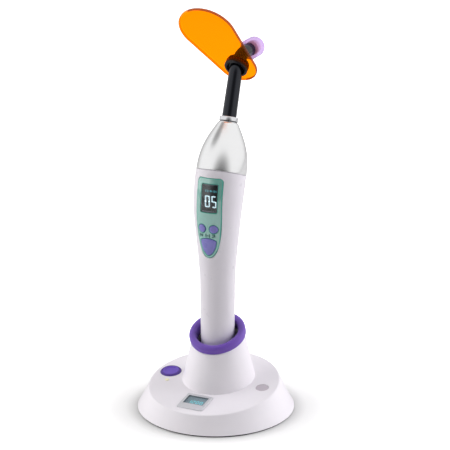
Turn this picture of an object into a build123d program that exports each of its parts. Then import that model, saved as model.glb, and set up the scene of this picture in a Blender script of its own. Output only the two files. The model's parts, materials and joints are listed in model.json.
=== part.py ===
from build123d import *
from math import cos, radians, sin, tan
import os

# Cordless dental curing light standing in its charging cradle, in millimetres.
# The origin is the centre of the base's underside, the front is -Y and up is +Z.

os.makedirs("parts", exist_ok=True)

# Clearances
slide_gap = 0.15  # between a moving piece and the hole it slides in
turn_gap = 0.05  # radial, on round pieces that turn in each other
seat_gap = 0.2  # under a piece that rests loosely on another
fit_gap = 0.1  # between pieces that are assembled and stay put

# Base shell
base_radius = 56.0
skirt_lean = 25.2  # of the skirt from the vertical, in degrees
skirt_hollow = 0.8  # how far the skirt's flare dips below a straight line
skirt_top = 30.0
deck_height = 19.8  # of the deck above the floor, at the base's centre
deck_slope = 7.8  # down towards the front, in degrees
deck_round = 1.2
base_wall = 2.4

# Bottom of the base
pad_thickness = 1.0
pad_inset = 0.8
plate_thickness = 1.8
plate_gap = 0.4  # round the plate inside the skirt
foot_margin = 9.0  # of the base screws from the base's edge
boss_radius = 3.0
base_screw_radius = 1.4
base_screw_length = 8.0
base_screw_head = 2.6
ballast_margin = 13.0  # of the weight from the base's edge
ballast_inner = 20.0
ballast_thickness = 5.2
ballast_front = 2.0
jack_notch_half = 8.0
jack_notch_gap = 2.0  # in front of the inlet

# Circuit board of the base, square to the deck and measured down from it
board_depth = 8.0
board_thickness = 1.6
board_margin = 15.0  # of the board from the base's edge
board_centre = -2.95
board_back = 9.0
board_post_radius = 2.5
board_screw_radius = 1.0
board_screw_head = 1.9
board_screw_length = 6.0
board_screw_rise = 1.2
board_post_front = (13.0, -20.0)  # in from the board's edge, and behind the deck's middle
board_post_back = (19.0, 5.0)

# Deck fittings, placed in the deck's own plane
button_margin = 20.0  # of the button and the sensor from the base's edge
button_radius = 7.6
button_proud = 1.0
button_travel = 0.6
button_flange = 1.2
button_flange_width = 1.3
button_groove_radius = 5.0
button_groove_width = 0.5
button_groove_depth = 0.3
switch_size = 6.0
switch_height = 2.6
switch_plunger_radius = 1.7
switch_plunger_height = 0.6
sensor_radius = 4.65
sensor_thickness = 1.6
sensor_sunk = 0.25
sensor_ledge = 0.9
photodiode_size = 5.0
photodiode_height = 2.2
lamp_step = (3.0, -12.0)  # from the button
lamp_radius = 1.5
lamp_proud = 0.2
lcd_margin = 21.7  # of the display's middle from the base's edge
lcd_width = 19.5
lcd_depth = 19.0
lcd_proud = 0.9
lcd_border = 1.4
lcd_round = 0.8
lcd_screen_width = 15.2
lcd_screen_depth = 10.4
lcd_screen_shift = 1.6
lcd_glass_thickness = 2.5
lcd_glass_sunk = 0.2

# Power inlet at the back
inlet_height = 8.2
inlet_radius = 3.0
inlet_wall = 1.0
inlet_gap = 0.25  # round the inlet's nose in the shell
inlet_pin_sunk = 1.0
inlet_sunk = 5.6  # of the nose's end from the base's edge
inlet_nose = 4.4
inlet_body_length = 11.0
inlet_pin_radius = 1.0
inlet_depth = 9.0
inlet_body_width = 9.0
inlet_body_top = 12.8

# Collar and its rubber ring
collar_offset = 5.4  # of the collar's axis behind the base's centre
collar_radius = 26.2  # at the deck's height
collar_taper = 13.3
collar_wall = 2.2
collar_start = 8.0  # how far below the deck's height the cone is begun
collar_boss_circle = 21.8
collar_boss_radius = 2.2
collar_boss_height = 9.0
collar_screw_radius = 1.0
collar_screw_head = 1.9
collar_screw_length = 9.0
collar_screw_rise = 1.2
rim_offset = 3.7
rim_height = 51.8
rim_slope = 23.0
ring_radius = 20.2
ring_section = 5.0
ring_height = 6.0
ring_top_round = 2.3
ring_foot_round = 0.9
ring_lip_width = 0.9
ring_lip_depth = 2.5

# Cup that takes the handpiece's tail, with the charging board under it
cup_wall = 1.6
cup_top = 42.4
cup_floor = 2.0
cup_mouth_chamfer = 0.8
cup_gap = 0.6  # round the handpiece in the cup
cup_flange_radius = 17.9
cup_flange_thickness = 2.0
cup_screw_circle = 16.0
cup_screw_radius = 1.0
cup_screw_head = 1.7
cup_screw_length = 5.5
cup_screw_count = 3
cup_skirt_height = 4.6
charging_board_thickness = 1.6
pin_radius = 0.95
pin_sleeve_radius = 1.6
pin_travel = 0.8
pin_step = 6.2  # of the outer pin from the cup's axis
pin_rest_gap = 0.05

# Handpiece grip: upright below, leaning back on an arc up to the nozzle's seam
grip_offset = 3.0  # of the grip's axis behind the base's centre
tail_height = 25.0
straight_length = 109.5
lean_angle = 19.4
lean_radius = 105.7
tail_radius = 11.6
waist_radius = 12.3
waist_along = 62.0
swell_radius = 17.65
swell_along = 140.0
grip_wall = 1.6
tail_cap_height = 3.0
tail_plug_height = 5.0
tail_round = 1.0
contact_sheet = 0.6
contact_disc = 2.5
contact_ring_width = 2.8
grip_steps = 15  # sections that the grip's form is drawn through

# Control panel on the grip, outline as seen from the front, heights from the nozzle's seam
panel_proud = 0.25
panel_depth = 0.8
panel_half_width = 9.6
panel_top = 0.791
panel_shoulder = -23.609
panel_narrow = -41.609
panel_narrow_half = 8.3
panel_chin = -50.609
panel_chin_half = 5.9
panel_bottom = -55.809
panel_corner = 3.0
window_half_width = 6.5
window_top = -3.409
window_bottom = -22.609
window_corner = 0.8
window_ledge = 0.8
key_radius = 2.8
key_x = 4.3
key_height = -34.409
key_proud = 0.9
key_flange = 0.7
key_back = -7.0
key_travel = 0.6
power_top = -41.409
power_half_width = 5.6
power_bottom = -53.709
power_corner = 1.6
power_proud = 1.1
front_reach = 20.0  # how far the panel's cutters run forward

# Inside the grip, with the board's heights from the nozzle's seam
battery_radius = 8.2
battery_nub_radius = 2.8
battery_nub_height = 1.0
spring_wire = 0.45
spring_radius = 3.6
spring_turns = 4
frame_end = 1.5
frame_start = 8.6
board_clearance = 2.3  # between the carrier's end wall and the board over it
frame_gap = 0.4  # round the battery
carrier_gap = 0.3  # between the carrier and the grip's wall
contact_gap = 0.2  # between the battery's nub and its contact
spring_space = 4.6
contact_radius = 5.0
contact_thickness = 0.8
tongue_front = -2.5
tongue_thickness = 1.3
tongue_half_width = 7.0
tongue_top = -11.609
control_thickness = 1.2
control_half_width = 8.6
control_bottom = -59.109
control_top = -2.609
tact_size = 5.0
tact_height = 2.4
power_tact_height = -48.109
module_half_width = 5.6
module_bottom = -21.609
module_top = -4.609
module_depth = 3.4
buzzer_radius = 4.5
buzzer_thickness = 3.2
buzzer_height = -39.609

# Head: nozzle, socket and light engine, measured along the head's axis from the seam
nozzle_length = 34.9
nozzle_tip_radius = 7.2
nozzle_shoulder = 15.8
nozzle_shoulder_along = 15.7
nozzle_neck = 10.2
nozzle_neck_along = 29.3
nozzle_wall = 1.9
nozzle_tip_solid = 3.6
spigot_length = 4.0
spigot_wall = 1.4
ring_length = 4.2
ring_foot_radius = 6.6
ring_head_radius = 6.3
socket_radius = 6.3
socket_foot = 24.1
socket_flange_radius = 7.4
socket_flange = 1.4
sink_foot = -3.0
sink_flange = 3.2
sink_gap = 0.25  # between the heat sink's flange and the nozzle's spigot
sink_radius = 12.2
sink_top = 15.0
sink_groove_depth = 2.0
sink_groove_count = 4
led_board_radius = 8.0
led_board_thickness = 1.6
emitter_size = 3.5
emitter_height = 1.0
emitter_dome = 1.25
lens_foot = 19.2
lens_top = 24.0
lens_foot_radius = 3.2
lens_top_radius = 5.0
lens_rim_radius = 6.2
lens_rim = 1.0

# Light guide
guide_radius = 5.1
guide_bent_radius = 4.7
guide_foot = 27.0
guide_straight_end = 70.0
guide_bend_radius = 18.0
guide_bend_angle = 67.0
guide_tail = 11.0
sheath_wall = 1.2
ferrule_length = 8.0
seal_along = 31.0
seal_wire = 0.45
core_proud = 0.6

# Eye shield and its grommet
shield_along = 75.4  # of the shield's middle plane along the guide
shield_lean = 52.4  # of the shield's normal from the vertical
shield_turn = 111.0  # of the shield's long axis, from +X round its normal
shield_thickness = 2.0
shield_hole = 7.5
shield_near_radius = 14.7
shield_far_radius = 21.0
shield_far_distance = 35.5
shield_edge_round = 0.5
grommet_lip_radius = 8.3
grommet_lip = 2.4
grommet_back_lip = 2.0
grommet_funnel_radius = 6.6
grommet_funnel_depth = 1.6

# Cap on the guide's tip
cap_radius = 7.3
cap_start = 97.6
cap_length = 13.6
cap_mouth_round = 1.2
cap_dome_round = 6.4
cap_bore_depth = 9.0

# Derived places
foot_circle = base_radius - foot_margin
ballast_outer = base_radius - ballast_margin
inlet_end = base_radius - inlet_sunk
inlet_face = inlet_end - inlet_nose
inlet_back = inlet_face - inlet_body_length
jack_notch_start = inlet_back - jack_notch_gap
board_radius = base_radius - board_margin
board_posts = [
    (side * (board_radius - post_inset), post_y)
    for post_inset, post_y in (board_post_front, board_post_back)
    for side in (-1, 1)
]
button_x = button_margin - base_radius
sensor_x = base_radius - button_margin
lamp_x = button_x + lamp_step[0]
lamp_y = lamp_step[1]
lcd_y = lcd_margin - base_radius
deck = Plane(
    origin=(0, 0, deck_height),
    x_dir=(1, 0, 0),
    z_dir=(0, -sin(radians(deck_slope)), cos(radians(deck_slope))),
)
deck_under = deck.offset(-base_wall)
board_top = deck.offset(-board_depth)
board_under = board_top.offset(-board_thickness)
plate_top = pad_thickness + plate_thickness
collar_plane = Plane(origin=(0, collar_offset, deck_height), z_dir=(0, 0, 1))
rim = Plane(
    origin=(0, rim_offset, rim_height),
    x_dir=(1, 0, 0),
    z_dir=(0, -sin(radians(rim_slope)), cos(radians(rim_slope))),
)
cup_radius = tail_radius + (waist_radius - tail_radius) * (cup_top - tail_height) / waist_along + cup_gap
cup_floor_top = tail_height - seat_gap
cup_plane = Plane(origin=(0, grip_offset, cup_floor_top), z_dir=(0, 0, 1))
cup_outer = cup_radius + cup_wall
charging_board_top = cup_floor_top - cup_floor - cup_skirt_height
grip_length = straight_length + lean_radius * radians(lean_angle)
battery_start = frame_start + frame_end + spring_space
frame_outer = tail_radius - grip_wall - carrier_gap
frame_inner = battery_radius + frame_gap


def grip_plane(along):
    """Plane square to the grip's axis, at a distance along it from the tail."""
    turn = max(along - straight_length, 0) / lean_radius
    rise = min(along, straight_length) + lean_radius * sin(turn)
    return Plane(
        origin=(0, grip_offset + lean_radius * (1 - cos(turn)), tail_height + rise),
        x_dir=(1, 0, 0),
        z_dir=(0, sin(turn), cos(turn)),
    )


def grip_radius(along):
    """Outer radius of the grip: a slim tail that swells smoothly towards the seam."""
    if along <= waist_along:
        return tail_radius + (waist_radius - tail_radius) * along / waist_along
    part_way = min((along - waist_along) / (swell_along - waist_along), 1)
    return waist_radius + (swell_radius - waist_radius) * part_way**2 * (3 - 2 * part_way)


def grip_form(growth, start):
    """The grip's outer shape grown by an amount, from a distance along it up to the seam."""
    stations = [start + (grip_length - start) * step / grip_steps for step in range(grip_steps + 1)]
    with BuildPart() as form:
        for along in stations:
            with BuildSketch(grip_plane(along)):
                Circle(grip_radius(along) + growth)
        loft()
    return form.part


def beside(frame):
    """Plane through a frame's own axis, for outlines of (radius, height) that are turned round it."""
    return Plane(origin=frame.origin, x_dir=frame.x_dir, z_dir=-frame.y_dir)


def outline(frame, *corners):
    """Closed outline of (radius, height) corners beside a frame's axis."""
    with BuildSketch(beside(frame)) as shape:
        with BuildLine():
            Polyline(*corners, close=True)
        make_face()
    return shape.sketch


def axis_of(frame):
    return Axis(frame.origin, frame.z_dir)


def skirt_form(inset, drop, foot):
    """The base's outer shape, drawn in by inset and with its deck lowered by drop."""
    side = inset / cos(radians(skirt_lean))
    slope = tan(radians(skirt_lean))
    foot_radius = base_radius - side - (foot - pad_thickness) * slope
    top_radius = base_radius - side - (skirt_top - pad_thickness) * slope
    middle = ((foot_radius + top_radius) / 2 - skirt_hollow, (foot + skirt_top) / 2)
    with BuildPart() as form:
        with BuildSketch(Plane.XZ):
            with BuildLine():
                Line((0, skirt_top), (0, foot))
                Line((0, foot), (foot_radius, foot))
                ThreePointArc((foot_radius, foot), middle, (top_radius, skirt_top))
                Line((top_radius, skirt_top), (0, skirt_top))
            make_face()
        revolve(axis=Axis.Z)
        split(bisect_by=deck.offset(-drop), keep=Keep.BOTTOM)
    return form.part


def collar_form(inset):
    """The collar's cone, drawn in by inset, from the deck up to the slanted rim."""
    foot = collar_plane.offset(-collar_start)
    foot_radius = collar_radius + collar_start * tan(radians(collar_taper))
    with BuildPart() as form:
        with BuildSketch(foot):
            Circle(foot_radius - inset / cos(radians(collar_taper)))
        extrude(amount=rim_height, taper=collar_taper)
        split(bisect_by=deck, keep=Keep.TOP)
        split(bisect_by=rim, keep=Keep.BOTTOM)
    return form.part


# Head and guide axes: the head carries straight on from the grip at the seam
head = grip_plane(grip_length)
grip_front = Plane(origin=(0, 0, head.origin.Z), x_dir=(1, 0, 0), z_dir=(0, -1, 0))
board_foot = head.origin.Z + control_bottom
frame_top = board_foot - board_clearance - frame_end - tail_height
battery_length = frame_top - contact_gap - contact_thickness - battery_nub_height - battery_start
bend_centre = head.offset(guide_straight_end).origin + head.y_dir * guide_bend_radius


def guide_plane(along):
    """Plane square to the light guide's axis, at a distance along it from the seam."""
    if along <= guide_straight_end:
        return head.offset(along)
    turn = min((along - guide_straight_end) / guide_bend_radius, radians(guide_bend_angle))
    rest = along - guide_straight_end - guide_bend_radius * turn
    lean = radians(lean_angle) + turn
    direction = Vector(0, sin(lean), cos(lean))
    bend_point = bend_centre + Vector(0, -cos(lean), sin(lean)) * guide_bend_radius
    return Plane(origin=bend_point + direction * rest, x_dir=(1, 0, 0), z_dir=direction)


def guide_form(growth, foot, foot_radius, bent_radius, tail):
    """A bent rod along the guide's axis: tapered up to the bend, then even to its end."""
    bend_end = guide_straight_end + guide_bend_radius * radians(guide_bend_angle)
    with BuildPart() as form:
        with BuildSketch(head.offset(foot)):
            Circle(foot_radius + growth)
        with BuildSketch(head.offset(guide_straight_end)):
            Circle(bent_radius + growth)
        loft()
        with BuildSketch(head.offset(guide_straight_end)):
            Circle(bent_radius + growth)
        revolve(axis=Axis(bend_centre, (-1, 0, 0)), revolution_arc=guide_bend_angle)
        with BuildSketch(guide_plane(bend_end)):
            Circle(bent_radius + growth)
        extrude(amount=tail)
    return form.part


def on_deck(x, y):
    """The deck's plane with its origin moved to a place on the deck."""
    return Plane(origin=deck.from_local_coords((x, y, 0)), x_dir=deck.x_dir, z_dir=deck.z_dir)


def upright(x, y, z):
    return Plane(origin=(x, y, z), x_dir=(1, 0, 0), z_dir=(0, 0, 1))


def screw_outline(frame, shank, head, length, growth):
    """Countersunk screw driven along the frame's axis, its flat head at the frame's origin."""
    cone = head - shank
    return outline(
        frame,
        (0, 0),
        (head + growth, 0),
        (shank + growth, cone),
        (shank + growth, length + growth),
        (0, length + growth),
    )


base_screw_frames = [
    Plane(origin=place.position + Vector(0, 0, pad_thickness + fit_gap), z_dir=(0, 0, 1))
    for place in PolarLocations(foot_circle, 4, start_angle=45).locations
]
cup_screw_frames = [
    Plane(origin=place.position, x_dir=deck.x_dir, z_dir=-deck.z_dir)
    for place in [
        on_deck(0, grip_offset).offset(cup_flange_thickness).location * spot
        for spot in PolarLocations(cup_screw_circle, cup_screw_count, start_angle=30).locations
    ]
]
collar_screw_frames = [
    Plane(origin=deck_under.from_local_coords((place.position.X, place.position.Y, 0)), z_dir=deck.z_dir)
    for place in [
        Location((0, collar_offset, 0)) * spot
        for spot in PolarLocations(collar_boss_circle, 3, start_angle=90).locations
    ]
]
board_screw_frames = [
    Plane(origin=board_under.from_local_coords((x, y, 0)), x_dir=deck.x_dir, z_dir=deck.z_dir)
    for x, y in board_posts
]

# Rubber pad, the face that the base stands on
with BuildPart() as base_pad:
    with BuildSketch():
        Circle(base_radius - pad_inset)
    extrude(amount=pad_thickness)
base_pad.part.label = "base_pad"
export_step(base_pad.part, "parts/base_pad.step")

# Bottom plate, held by four countersunk screws
skirt_side = base_wall / cos(radians(skirt_lean))
plate_radius = base_radius - skirt_side - plate_thickness * tan(radians(skirt_lean)) - plate_gap
with BuildPart() as base_plate:
    with BuildSketch(Plane.XY.offset(pad_thickness)):
        Circle(plate_radius)
    extrude(amount=plate_thickness)
    for frame in base_screw_frames:
        screw_hole = screw_outline(frame, base_screw_radius, base_screw_head, base_screw_length, fit_gap)
        revolve(screw_hole, axis=axis_of(frame), mode=Mode.SUBTRACT)
        with BuildSketch(frame.offset(-fit_gap)):
            Circle(base_screw_head + fit_gap)
        extrude(amount=fit_gap, mode=Mode.SUBTRACT)
base_plate.part.label = "base_plate"
export_step(base_plate.part, "parts/base_plate.step")

with BuildPart() as base_screws:
    for frame in base_screw_frames:
        screw = screw_outline(frame, base_screw_radius, base_screw_head, base_screw_length, 0)
        revolve(screw, axis=axis_of(frame))
base_screws.part.label = "base_screws"
export_step(base_screws.part, "parts/base_screws.step")

# Base shell with its bosses and the deck's openings
shell_outside = skirt_form(0, 0, pad_thickness)
shell_inside = skirt_form(base_wall, base_wall, pad_thickness)
with BuildPart() as base_bosses:
    with BuildSketch(Plane.XY.offset(plate_top)):
        with PolarLocations(foot_circle, 4, start_angle=45):
            Circle(boss_radius)
    extrude(amount=skirt_top)
    with BuildSketch(board_top):
        with Locations(*board_posts):
            Circle(board_post_radius)
    extrude(amount=board_depth)
    for frame in cup_screw_frames:
        with BuildSketch(frame.offset(cup_flange_thickness)):
            Circle(cup_screw_radius + 1.2)
        extrude(amount=cup_screw_length)
    add(skirt_form(base_wall / 2, base_wall / 2, pad_thickness), mode=Mode.INTERSECT)

with BuildPart() as base_housing:
    add(shell_outside)
    deck_edge = base_housing.faces().filter_by(Axis(deck.origin, deck.z_dir)).sort_by(Axis.Z)[-1].edges()
    fillet(deck_edge, deck_round)
    add(shell_inside, mode=Mode.SUBTRACT)
    add(base_bosses.part)
    for frame in base_screw_frames:
        with BuildSketch(frame):
            Circle(base_screw_radius + turn_gap)
        extrude(amount=base_screw_length + 0.5, mode=Mode.SUBTRACT)
    for frame in board_screw_frames:
        with BuildSketch(frame):
            Circle(board_screw_radius + turn_gap)
        extrude(amount=board_screw_length + 0.5, mode=Mode.SUBTRACT)
    for frame in cup_screw_frames:
        with BuildSketch(frame):
            Circle(cup_screw_radius + turn_gap)
        extrude(amount=cup_screw_length + 0.5, mode=Mode.SUBTRACT)
    for frame in collar_screw_frames:
        with BuildSketch(frame):
            Circle(collar_screw_radius + fit_gap)
        extrude(amount=base_wall + 1, mode=Mode.SUBTRACT)
    with BuildSketch(upright(0, grip_offset, board_top.origin.Z)):
        Circle(cup_outer + fit_gap)
    extrude(amount=skirt_top, mode=Mode.SUBTRACT)
    with BuildSketch(deck_under.offset(-0.5)):
        with Locations((button_x, 0)):
            Circle(button_radius + slide_gap)
        with Locations((sensor_x, 0)):
            Circle(sensor_radius - sensor_ledge)
        with Locations((lamp_x, lamp_y)):
            Circle(lamp_radius + fit_gap)
        with Locations((0, lcd_y)):
            Rectangle(lcd_width - 2 * lcd_border, lcd_depth - 2 * lcd_border)
    extrude(amount=base_wall + 1, mode=Mode.SUBTRACT)
    with BuildSketch(on_deck(sensor_x, 0)):
        Circle(sensor_radius + fit_gap)
    extrude(amount=-sensor_thickness - sensor_sunk, mode=Mode.SUBTRACT)
    with BuildSketch(Plane(origin=(0, inlet_face - 4, inlet_height), x_dir=(1, 0, 0), z_dir=(0, 1, 0))):
        Circle(inlet_radius + inlet_wall + inlet_gap)
    extrude(amount=base_radius, mode=Mode.SUBTRACT)
base_housing.part.label = "base_housing"
export_step(base_housing.part, "parts/base_housing.step")

# Steel weight in the back half of the base, notched round the inlet
with BuildPart() as ballast:
    with BuildSketch(Plane.XY.offset(plate_top)):
        Circle(ballast_outer)
        Circle(ballast_inner, mode=Mode.SUBTRACT)
        with Locations((0, ballast_front)):
            Rectangle(3 * base_radius, 2 * base_radius, align=(Align.CENTER, Align.MAX), mode=Mode.SUBTRACT)
        with Locations((0, jack_notch_start)):
            Rectangle(
                2 * jack_notch_half, base_radius, align=(Align.CENTER, Align.MIN), mode=Mode.SUBTRACT
            )
    extrude(amount=ballast_thickness)
ballast.part.label = "ballast"
export_step(ballast.part, "parts/ballast.step")

# Power inlet: a round socket with its own centre pin
inlet = Plane(origin=(0, inlet_back, inlet_height), x_dir=(1, 0, 0), z_dir=(0, 1, 0))
with BuildPart() as dc_jack:
    with BuildSketch(inlet):
        with Locations((0, inlet_height - (plate_top + inlet_body_top) / 2)):
            Rectangle(inlet_body_width, inlet_body_top - plate_top)
    extrude(amount=inlet_face - inlet_back)
    with BuildSketch(inlet.offset(inlet_face - inlet_back)):
        Circle(inlet_radius + inlet_wall)
    extrude(amount=inlet_end - inlet_face)
    with BuildSketch(inlet.offset(inlet_end - inlet_back)):
        Circle(inlet_radius)
        Circle(inlet_pin_radius, mode=Mode.SUBTRACT)
    extrude(amount=-inlet_depth, mode=Mode.SUBTRACT)
    with BuildSketch(inlet.offset(inlet_end - inlet_back)):
        Circle(inlet_radius)
    extrude(amount=-inlet_pin_sunk, mode=Mode.SUBTRACT)
dc_jack.part.label = "dc_jack"
export_step(dc_jack.part, "parts/dc_jack.step")

# Circuit board of the base under the front of the deck
with BuildPart() as base_board:
    with BuildSketch(board_under):
        with Locations((0, board_centre)):
            Circle(board_radius)
        with Locations((0, board_back)):
            Rectangle(3 * base_radius, base_radius, align=(Align.CENTER, Align.MIN), mode=Mode.SUBTRACT)
        with Locations((0, grip_offset)):
            Circle(cup_outer + 2, mode=Mode.SUBTRACT)
        with Locations(*board_posts):
            Circle(board_screw_radius + fit_gap, mode=Mode.SUBTRACT)
    extrude(amount=board_thickness)
base_board.part.label = "base_board"
export_step(base_board.part, "parts/base_board.step")

with BuildPart() as board_screws:
    for frame in board_screw_frames:
        pan_head = outline(
            frame,
            (0, -board_screw_rise),
            (board_screw_head, -board_screw_rise),
            (board_screw_head, 0),
            (board_screw_radius, 0),
            (board_screw_radius, board_screw_length),
            (0, board_screw_length),
        )
        revolve(pan_head, axis=axis_of(frame))
board_screws.part.label = "board_screws"
export_step(board_screws.part, "parts/board_screws.step")

# Button on the deck, with a ring pressed into its top and the switch under it
button = on_deck(button_x, 0)
switch_top = -board_depth + switch_height + switch_plunger_height
flange_top = -base_wall - turn_gap
with BuildPart() as base_button:
    revolve(
        outline(
            button,
            (0, switch_top + button_travel + turn_gap),
            (switch_plunger_radius, switch_top + button_travel + turn_gap),
            (switch_plunger_radius, flange_top - button_flange),
            (button_radius + button_flange_width, flange_top - button_flange),
            (button_radius + button_flange_width, flange_top),
            (button_radius, flange_top),
            (button_radius, button_proud),
            (0, button_proud),
        ),
        axis=axis_of(button),
    )
    rim_edge = base_button.edges().filter_by(GeomType.CIRCLE).sort_by(Axis(button.origin, button.z_dir))[-1]
    fillet(rim_edge, button_proud * 0.6)
    with BuildSketch(button.offset(button_proud)):
        Circle(button_groove_radius + button_groove_width)
        Circle(button_groove_radius, mode=Mode.SUBTRACT)
    extrude(amount=-button_groove_depth, mode=Mode.SUBTRACT)
base_button.part.label = "base_button"
export_step(base_button.part, "parts/base_button.step")

with BuildPart() as base_switch:
    with BuildSketch(button.offset(-board_depth)):
        Rectangle(switch_size, switch_size)
    extrude(amount=switch_height)
    with BuildSketch(button.offset(-board_depth + switch_height)):
        Circle(switch_plunger_radius)
    extrude(amount=switch_plunger_height)
base_switch.part.label = "base_switch"
export_step(base_switch.part, "parts/base_switch.step")

# Light meter: a frosted port in the deck and the photodiode under it
sensor = on_deck(sensor_x, 0)
with BuildPart() as sensor_window:
    with BuildSketch(sensor.offset(-sensor_sunk)):
        Circle(sensor_radius)
    extrude(amount=-sensor_thickness)
sensor_window.part.label = "sensor_window"
export_step(sensor_window.part, "parts/sensor_window.step")

with BuildPart() as photodiode:
    with BuildSketch(sensor.offset(-board_depth)):
        Rectangle(photodiode_size, photodiode_size)
    extrude(amount=photodiode_height)
    chamfer(photodiode.faces().sort_by(Axis(sensor.origin, sensor.z_dir))[-1].edges(), 0.4)
photodiode.part.label = "photodiode"
export_step(photodiode.part, "parts/photodiode.step")

# Charging lamp: a light pipe that stands on the board
lamp = on_deck(lamp_x, lamp_y)
with BuildPart() as charge_lamp:
    with BuildSketch(lamp.offset(-board_depth)):
        Circle(lamp_radius)
    extrude(amount=board_depth + lamp_proud)
charge_lamp.part.label = "charge_lamp"
export_step(charge_lamp.part, "parts/charge_lamp.step")

# Deck display: frame, window and module
display = on_deck(0, lcd_y)
with BuildPart() as lcd_bezel:
    with BuildSketch(display):
        RectangleRounded(lcd_width, lcd_depth, lcd_round)
    extrude(amount=lcd_proud)
    chamfer(lcd_bezel.faces().sort_by(Axis(display.origin, display.z_dir))[-1].edges(), 0.3)
    with BuildSketch(display):
        Rectangle(lcd_width - 2 * lcd_border - 2 * fit_gap, lcd_depth - 2 * lcd_border - 2 * fit_gap)
    extrude(amount=lcd_proud - lcd_glass_thickness - lcd_glass_sunk)
    with BuildSketch(display.offset(lcd_proud)):
        with Locations((0, lcd_screen_shift)):
            Rectangle(lcd_screen_width + 2 * fit_gap, lcd_screen_depth + 2 * fit_gap)
    extrude(amount=-2 * lcd_depth, mode=Mode.SUBTRACT)
lcd_bezel.part.label = "lcd_bezel"
export_step(lcd_bezel.part, "parts/lcd_bezel.step")

glass_top = lcd_proud - lcd_glass_sunk
with BuildPart() as lcd_glass:
    with BuildSketch(display.offset(glass_top)):
        with Locations((0, lcd_screen_shift)):
            Rectangle(lcd_screen_width, lcd_screen_depth)
    extrude(amount=-lcd_glass_thickness)
lcd_glass.part.label = "lcd_glass"
export_step(lcd_glass.part, "parts/lcd_glass.step")

with BuildPart() as lcd_module:
    with BuildSketch(display.offset(-board_depth)):
        Rectangle(lcd_width - 2 * lcd_border - 1, lcd_depth - 2 * lcd_border - 1)
    extrude(amount=board_depth + glass_top - lcd_glass_thickness - turn_gap)
lcd_module.part.label = "lcd_module"
export_step(lcd_module.part, "parts/lcd_module.step")

# Collar on the deck, hollow, with three screw bosses inside
with BuildPart() as collar_bosses:
    for frame in collar_screw_frames:
        with BuildSketch(upright(frame.origin.X, frame.origin.Y, deck_height - collar_start)):
            Circle(collar_boss_radius)
        extrude(amount=collar_start + collar_boss_height)
    add(collar_form(collar_wall / 2), mode=Mode.INTERSECT)

with BuildPart() as cradle_collar:
    add(collar_form(0))
    add(collar_form(collar_wall), mode=Mode.SUBTRACT)
    add(collar_bosses.part)
    for frame in collar_screw_frames:
        with BuildSketch(frame):
            Circle(collar_screw_radius + turn_gap)
        extrude(amount=collar_screw_length + 0.5, mode=Mode.SUBTRACT)
cradle_collar.part.label = "cradle_collar"
export_step(cradle_collar.part, "parts/cradle_collar.step")

with BuildPart() as collar_screws:
    for frame in collar_screw_frames:
        pan_head = outline(
            frame,
            (0, -collar_screw_rise),
            (collar_screw_head, -collar_screw_rise),
            (collar_screw_head, 0),
            (collar_screw_radius, 0),
            (collar_screw_radius, collar_screw_length),
            (0, collar_screw_length),
        )
        revolve(pan_head, axis=axis_of(frame))
collar_screws.part.label = "collar_screws"
export_step(collar_screws.part, "parts/collar_screws.step")

# Rubber ring on the collar's slanted rim, with a lip inside the collar
with BuildPart() as cradle_ring:
    with BuildSketch(beside(rim)) as ring_shape:
        with Locations((ring_radius - ring_section / 2, ring_height / 2)):
            Rectangle(ring_section, ring_height)
        corners = ring_shape.vertices().group_by(Axis.Y)
        fillet(corners[-1], ring_top_round)
        fillet(ring_shape.vertices().sort_by_distance((ring_radius, 0))[0], ring_foot_round)
        with Locations((ring_radius - ring_section, 0)):
            Rectangle(ring_lip_width, 2 * ring_lip_depth, align=(Align.MIN, Align.CENTER))
    revolve(axis=axis_of(rim))
cradle_ring.part.label = "cradle_ring"
export_step(cradle_ring.part, "parts/cradle_ring.step")

# Cup that the handpiece stands in, screwed to the deck inside the collar
with BuildPart() as cradle_cup:
    with BuildSketch(on_deck(0, grip_offset)):
        Circle(cup_flange_radius)
    extrude(amount=cup_flange_thickness)
    with BuildSketch(upright(0, grip_offset, charging_board_top)):
        Circle(cup_outer)
    extrude(amount=cup_top - charging_board_top)
    with BuildSketch(cup_plane):
        Circle(cup_radius)
    extrude(amount=cup_top, mode=Mode.SUBTRACT)
    mouth = cradle_cup.edges().filter_by(GeomType.CIRCLE).group_by(Axis.Z)[-1].sort_by(SortBy.RADIUS)[0]
    chamfer(mouth, cup_mouth_chamfer)
    with BuildSketch(upright(0, grip_offset, charging_board_top)):
        Circle(cup_radius)
    extrude(amount=cup_skirt_height, mode=Mode.SUBTRACT)
    with BuildSketch(cup_plane):
        with Locations((0, 0), (pin_step, 0)):
            Circle(pin_sleeve_radius + turn_gap)
    extrude(amount=-cup_floor, mode=Mode.SUBTRACT)
    for frame in cup_screw_frames:
        screw_hole = screw_outline(frame, cup_screw_radius, cup_screw_head, cup_screw_length, fit_gap)
        revolve(screw_hole, axis=axis_of(frame), mode=Mode.SUBTRACT)
cradle_cup.part.label = "cradle_cup"
export_step(cradle_cup.part, "parts/cradle_cup.step")

with BuildPart() as cup_screws:
    for frame in cup_screw_frames:
        screw = screw_outline(frame, cup_screw_radius, cup_screw_head, cup_screw_length, 0)
        revolve(screw, axis=axis_of(frame))
cup_screws.part.label = "cup_screws"
export_step(cup_screws.part, "parts/cup_screws.step")

with BuildPart() as charging_board:
    with BuildSketch(upright(0, grip_offset, charging_board_top)):
        Circle(cup_outer)
    extrude(amount=-charging_board_thickness)
charging_board.part.label = "charging_board"
export_step(charging_board.part, "parts/charging_board.step")

# Sprung charging pins in their sleeves
with BuildPart() as pin_sleeves:
    with BuildSketch(upright(0, grip_offset, charging_board_top)):
        with Locations((0, 0), (pin_step, 0)):
            Circle(pin_sleeve_radius)
            Circle(pin_radius + turn_gap, mode=Mode.SUBTRACT)
    extrude(amount=cup_floor_top - charging_board_top)
pin_sleeves.part.label = "pin_sleeves"
export_step(pin_sleeves.part, "parts/pin_sleeves.step")

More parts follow.
